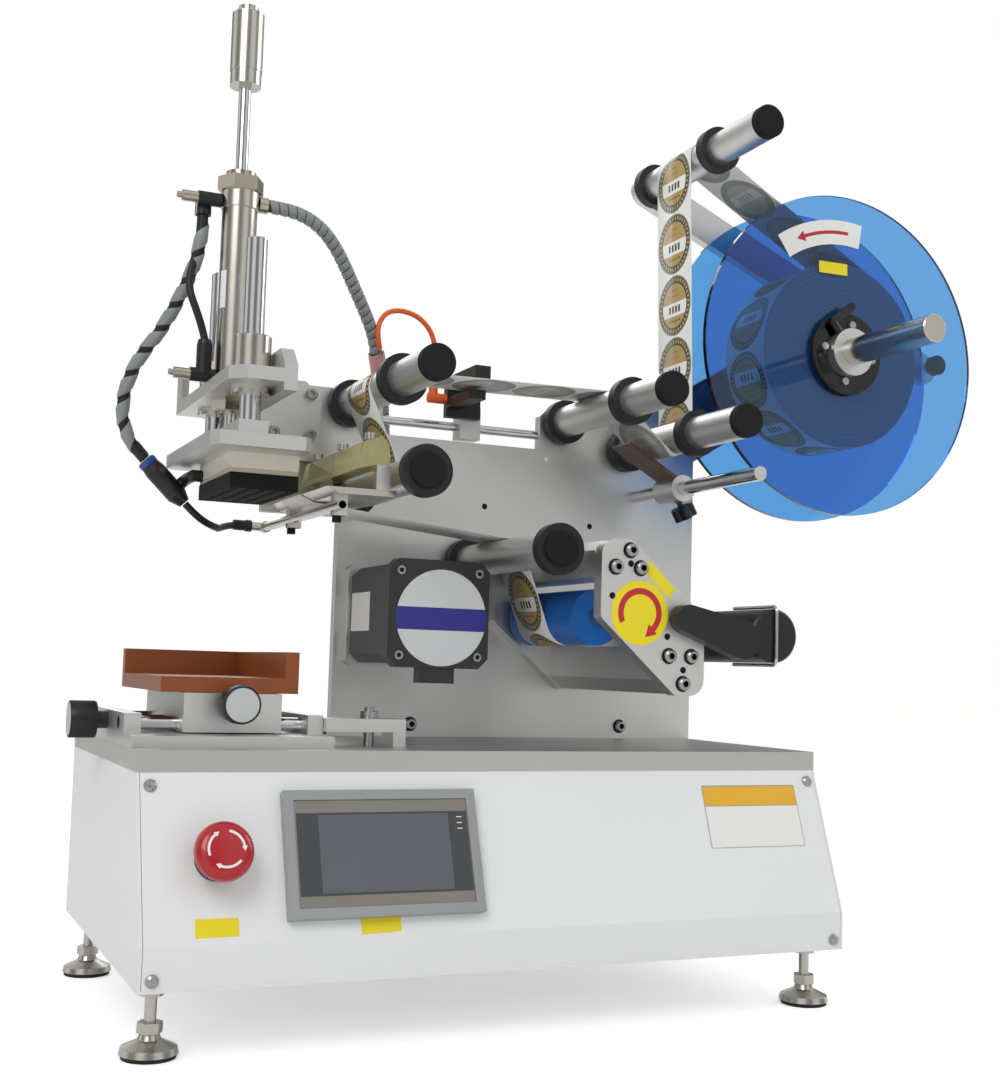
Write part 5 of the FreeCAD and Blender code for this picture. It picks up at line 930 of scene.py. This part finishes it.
# %% Traction sticker and tags
grip_face = facing(99, -140, 306)
stick("grip_sticker", round_flat(25), grip_face, "root", YELLOW_VINYL)
stick("grip_arrow", curved_arrow(16.8, 4.8, 206, -252, 6.2), grip_face, "root", RED_VINYL,
      thick=0.1, lift=0.15)
tag("grip_tag", 33, 9.5, facing(115.4, -140, 332.7) @ tilt(-41.3), "root", YELLOW_VINYL)
tag("side_sticker", 87.8, 49.8, on_slope(208, 37), "root", GREY_PANEL)
tag("side_sticker_head", 86.6, 15.5, on_slope(208, 20.7, 0.15), "root", AMBER_VINYL)
tag("side_sticker_field", 86.6, 32.6, on_slope(208, 45.2, 0.15), "root", WHITE_VINYL)
tag("stop_tag", 29, 12.2, on_slope(-224.5, 104.5), "root", YELLOW_VINYL)
tag("screen_tag", 29, 12, on_slope(-111.2, 107) @ tilt(2), "root", YELLOW_VINYL)
print("tags on the frame")

# %% Motor labels and screws
MOTOR_DISC = 38.5
motor_face = facing(-26, -42, 299)
stick("motor_disc", round_flat(MOTOR_DISC), motor_face, "root", SILVER_VINYL)
mesh = round_flat(MOTOR_DISC)
for height, outer_side in ((8, 1), (-10, -1)):
    bmesh.ops.bisect_plane(mesh, geom=mesh.verts[:] + mesh.edges[:] + mesh.faces[:],
                           clear_outer=True, plane_co=spot(0, height, 0),
                           plane_no=(0, outer_side, 0))
stick("motor_band", mesh, motor_face, "root", BLUE_VINYL, thick=0.1, lift=0.15)
tag("motor_tag", 46, 32, basis(spot(-68, 35, 304), (-1, 0, 0)), "root", WHITE_VINYL)


def socket_screw(mesh, matrix, wide, high):
    """Adds a socket head screw: a spun head with a round hole and painted shade on its floor."""
    before = set(mesh.verts)
    half = wide / 2
    hole, floor_height = half * 0.56, high * 0.4
    spin_outline([(hole, floor_height), (hole, high), (half * 0.9, high), (half, high * 0.88),
                  (half, 0)], 24, mesh)
    made = [vert for vert in mesh.verts if vert not in before]
    floor_ring = bmesh.ops.create_circle(mesh, cap_ends=True, segments=24,
                                         radius=hole * MM)["verts"]
    bmesh.ops.translate(mesh, vec=spot(0, 0, floor_height), verts=floor_ring)
    for face in set(face for vert in floor_ring for face in vert.link_faces):
        face.material_index = 1
    bmesh.ops.transform(mesh, matrix=matrix, verts=made + floor_ring)


# The floors of the motor's screw holes get the dark finish as painted shade.
mesh = bmesh.new()
for x in (-33.5, 33.5):
    for z in (-33.5, 33.5):
        socket_screw(mesh, facing(-28 + x, -42, 302 + z), wide=7, high=1.6)
keep("motor_screws", mesh, "root", ZINC, BLACK_STEEL_AND_PAINTED_SHADE)
print("motor labels and screws")

# %% [markdown]
# ## Screws of the frame
# Socket head screws sit in counterbores, so each shows a bright head, a dark hexagon hole and a
# dark gap round it. The CAD screws have the head and hole. Their holes get painted shade by face,
# the gap's shade is painted as a flat black ring round each head, and empty holes are black discs
# of painted shade.

# %% Screw sockets, and painted shade in their gaps and in empty holes
SCREWS = {71: [(-7, 210), (200, 210)],
          -140: [(89.7, 353.9), (77.1, 340.5), (99, 340.5), (125.5, 273.6), (145.5, 273.6),
                 (138.5, 252.3)]}
axes = [place for places in SCREWS.values() for place in places]
# The faces inside each socket hole are painted dark: painted shade in the recess.
paint("socket_screws", ZINC,
      (lambda x, y, z: min(from_axis(x, z, axis) for axis in axes) < 2.6, BLACK_STEEL_AND_PAINTED_SHADE))
# Each counterbore gap gets a flat black ring of painted shade.
for face_y, places in SCREWS.items():
    mesh = bmesh.new()
    for x, z in places:
        before = set(mesh.verts)
        sector(mesh, 5.05, 6.3, 0, 360)
        made = [vert for vert in mesh.verts if vert not in before]
        bmesh.ops.transform(mesh, matrix=facing(x, face_y, z), verts=made)
    bmesh.ops.remove_doubles(mesh, verts=mesh.verts, dist=0.01 * MM)
    thicken(mesh, spot(0, -0.12, 0))
    keep(f"screw_gap_shade_{abs(face_y)}", mesh, "root", BLACK_STEEL_AND_PAINTED_SHADE)
HOLES = {71: [(57.6, 404.6), (164.2, 393.6)],
         -140: [(90.3, 343.6), (74.6, 318.3), (123.8, 288.5), (153.5, 288.9), (138.6, 263)]}
# Each empty hole gets a flat black disc of painted shade.
for face_y, places in HOLES.items():
    for number, (x, z) in enumerate(places):
        stick(f"hole_shade_{abs(face_y)}_{number}", round_flat(2.6), facing(x, face_y, z), "root",
              BLACK_STEEL_AND_PAINTED_SHADE, thick=0.1)
print("screws dressed", len(axes))

# %% [markdown]
# ## Reel hub
# A thick black rubber ring runs round the hub's flange, and four bright screws hold it. The ring
# is a spun outline with rounded corners.

# %% Hub ring
mesh = spin_outline([(34.6, 0), (37.8, 0), (38.2, 0.4), (38.2, 5.4), (37.6, 6.2), (35, 6.2),
                     (34.6, 5.8), (34.6, 0)], steps=96)
mesh.transform(disc_face)
keep("hub_ring", mesh, "front_disc", BLACK_RUBBER)
paint("front_disc", BLUE_ACRYLIC,
      (lambda x, y, z: y < -38.5 and from_axis(x, z, REEL) < 22.2, PLATE_ALUMINIUM),
      (lambda x, y, z: y < -38.45 and from_axis(x, z, REEL) > 22.4, ZINC))
print("hub dressed")

# %% [markdown]
# ## Emergency stop
# The mushroom head has a fine toothed rim for grip, a nearly flat top and three white arrows that
# show which way it turns free. The head is one spun outline in which every second column of the
# rim is pushed out a little.

# %% Mushroom head
def toothed(outline, steps, beyond, push):
    """A spun outline: every second column past a radius in mm is moved in or out by a factor."""
    mesh = spin_outline(outline, steps)
    odd = [vert for vert in mesh.verts if vert.co.xy.length > beyond * MM
           and round(math.atan2(vert.co.y, vert.co.x) / math.tau * steps) % 2]
    bmesh.ops.scale(mesh, vec=(push, push, 1), verts=odd)
    return mesh


stop_place = on_slope(-223.2, 59.3, 13.3)
mesh = toothed([(0.01, 16.5), (9, 16.3), (13.6, 15.8), (16.4, 14.6), (18.4, 12.6), (19.3, 10.2),
                (19.3, 6), (18.4, 3.4), (16, 1.2), (10.5, 0.3), (0.01, 0.3)],
               steps=116, beyond=18.2, push=1.035)
mesh.transform(stop_place)
head = keep("stop_mushroom", mesh, "stop_head", RED_NYLON, sharp=60)
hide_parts("stop_head")
for number, start in enumerate((80, -40, -160)):
    stick(f"stop_arrow_{number}", curved_arrow(11.9, 1.7, start, -72, 2.3),
          stop_place @ Matrix.Translation(spot(0, 0, 15.85)), "stop_head", WHITE_VINYL, thick=0.3)
print("mushroom head", len(head.data.polygons), "faces")

# %% [markdown]
# ## Touch screen
# The screen is off. A brushed grey film frames a black glass window, and in it the display is a
# paler grey. Each is a thin plate with rounded corners, laid one on the other in the bezel.

# %% Screen
SCREEN_FILM = metal("brushed grey printed film", "#97928B", 0.42, 0.4, along=0)
BLACK_GLASS = solid_colour("black window glass", "#2B2F35", 0.16, 2, height=0.002, coat=0.6)
DISPLAY = solid_colour("unlit display", "#50565E", 0.2, 2, height=0.002, shift=0.1, coat=0.6)


def screen_plate(name, left, right, top, low, proud, finish, corner=0.8):
    """A thin plate on the screen, from its places in mm across and down the slope."""
    mesh = thin_plate(right - left, low - top, 0.3, corner)
    mesh.transform(on_slope((left + right) / 2, (top + low) / 2, proud))
    return keep(name, mesh, "root", finish)


screen_plate("screen_film", -170.2, -42, 22.2, 95.8, 6.8, SCREEN_FILM)
screen_plate("screen_window", -169, -42.6, 31, 88, 7.0, BLACK_GLASS)
screen_plate("screen_display", -153.5, -57, 32.5, 86.5, 7.15, DISPLAY)
for number, down in enumerate((35, 39.2, 43.4)):
    screen_plate(f"screen_mark_{number}", -50.5, -46.5, down, down + 0.7, 7.15, WHITE_VINYL,
                 corner=0.2)
print("screen made")

# %% [markdown]
# ## Knurled knobs
# The turning knobs have a toothed black rim round a grey cap. The rim is a spun sleeve over the
# plain knob from CAD, and every second column of it lies a little further in.

# %% Knurled sleeves
def knurled_sleeve(name, centre, way, long, body):
    """A toothed ring round a knob, from its outer end inwards."""
    mesh = toothed([(12.2, 0), (13.2, 0), (13.9, 0.7), (13.9, long - 0.6), (13.3, long),
                    (12.2, long), (12.2, 0)], steps=96, beyond=13.6, push=0.965)
    mesh.transform(basis(centre, way))
    keep(name, mesh, body, BLACK_MOULDED, sharp=60)


knurled_sleeve("feed_knob_rim", spot(-303, 5, 213.8), (1, 0, 0), 19, "feed_knob")
knurled_sleeve("cross_knob_rim", spot(-196.75, -93.2, 229), (0, 1, 0), 15.6, "cross_knob")
paint("feed_knob", BLACK_MOULDED, (lambda x, y, z: x < -302.9, GREY_CAP))
paint("cross_knob", BLACK_MOULDED, (lambda x, y, z: y < -92.9, GREY_CAP))
print("knobs dressed")

# %% [markdown]
# ## Suction pad
# The pad that holds a label by suction is a block of black sponge with rows of holes in its
# underside. The underside of a subdivided block is inset face by face, and each small face is
# pushed up into the pad.

# %% Sponge pad
HOLE_WALL, HOLE_DEEP = 3.6, 5
low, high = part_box("foam_pad")
size = high - low
mesh = bmesh.new()
bmesh.ops.create_grid(mesh, x_segments=5, y_segments=10, size=0.5)
bmesh.ops.scale(mesh, vec=(size.x, size.y, 1), verts=mesh.verts)
bmesh.ops.reverse_faces(mesh, faces=mesh.faces)
walls = set(bmesh.ops.inset_individual(mesh, faces=mesh.faces[:],
                                       thickness=HOLE_WALL * MM)["faces"])
cells = [face for face in mesh.faces if face not in walls]
made = bmesh.ops.extrude_discrete_faces(mesh, faces=cells)["faces"]
bmesh.ops.translate(mesh, vec=spot(0, 0, HOLE_DEEP),
                    verts=list({vert for face in made for vert in face.verts}))
side = bmesh.ops.extrude_edge_only(mesh, edges=[edge for edge in mesh.edges if edge.is_boundary
                                                and abs(edge.verts[0].co.z) < 1e-6])["geom"]
bmesh.ops.translate(mesh, vec=(0, 0, size.z), verts=verts_of(side))
bmesh.ops.holes_fill(mesh, edges=[edge for edge in mesh.edges if edge.is_boundary], sides=0)
bmesh.ops.translate(mesh, vec=((low.x + high.x) / 2, (low.y + high.y) / 2, low.z), verts=mesh.verts)
pad = keep("suction_pad", mesh, "press_head", SPONGE)
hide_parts("foam_pad")
print("pad has", len(cells), "holes")

# %% [markdown]
# ## Small fittings
# A blue release ring marks the upper end of the ejector, a bare label is wrapped on the cylinder,
# a black fitting joins the blow hose to its tube, and a strip of film tape ties the sensor's lead
# to the conduit. Each is spun or bent from a short outline.

# %% Ejector ring, tape and cylinder label
flow = Vector((0.70034, -0.06367, -0.71095))
mesh = spin_outline([(6, 0), (7.2, 0), (7.8, 0.6), (7.8, 4.4), (7.2, 5), (6, 5), (6, 0)], steps=48)
mesh.transform(basis(spot(-243, 79, 422) + flow * 0.5 * MM, flow, up=(0, 1, 0)))
keep("ejector_ring", mesh, "press_head", BLUE_RING)

mesh = sector(bmesh.new(), 14.02, 14.1, 196, 26)
thicken(mesh, spot(0, 0, 30))
bmesh.ops.translate(mesh, vec=spot(-192, 4, 536), verts=mesh.verts)
keep("cylinder_label", mesh, "root", WHITE_VINYL)

mesh = spin_outline([(3.05, 0), (4.8, 0), (5.2, 0.4), (5.2, 5), (4.6, 5.6), (4.6, 15), (4, 16),
                     (3.05, 16), (3.05, 0)], steps=32)
mesh.transform(basis(spot(-140.6, 126, 378), (-1, 0, 0.02)))
keep("blow_fitting", mesh, "root", BLACK_MOULDED)

line = route("tape_line", CONDUIT_ROUTE)
mesh = bmesh.new()
row = [mesh.verts.new(spot(x, 0, z)) for x, z in ((176, 7), (176, 8.1), (198, 8.1), (198, 7))]
edges = [mesh.edges.new(pair) for pair in zip(row, row[1:] + row[:1])]
bmesh.ops.subdivide_edges(mesh, edges=[edges[1], edges[3]], cuts=5)
bmesh.ops.spin(mesh, geom=mesh.verts[:] + mesh.edges[:], cent=(0, 0, 0), axis=(1, 0, 0),
               angle=math.tau, steps=32, use_merge=True)
bmesh.ops.scale(mesh, vec=(1, 0.9, 0.9), verts=mesh.verts)
merge(mesh)
bent_along("lead_tape", mesh, line, [PINK_TAPE])
print("small fittings made")
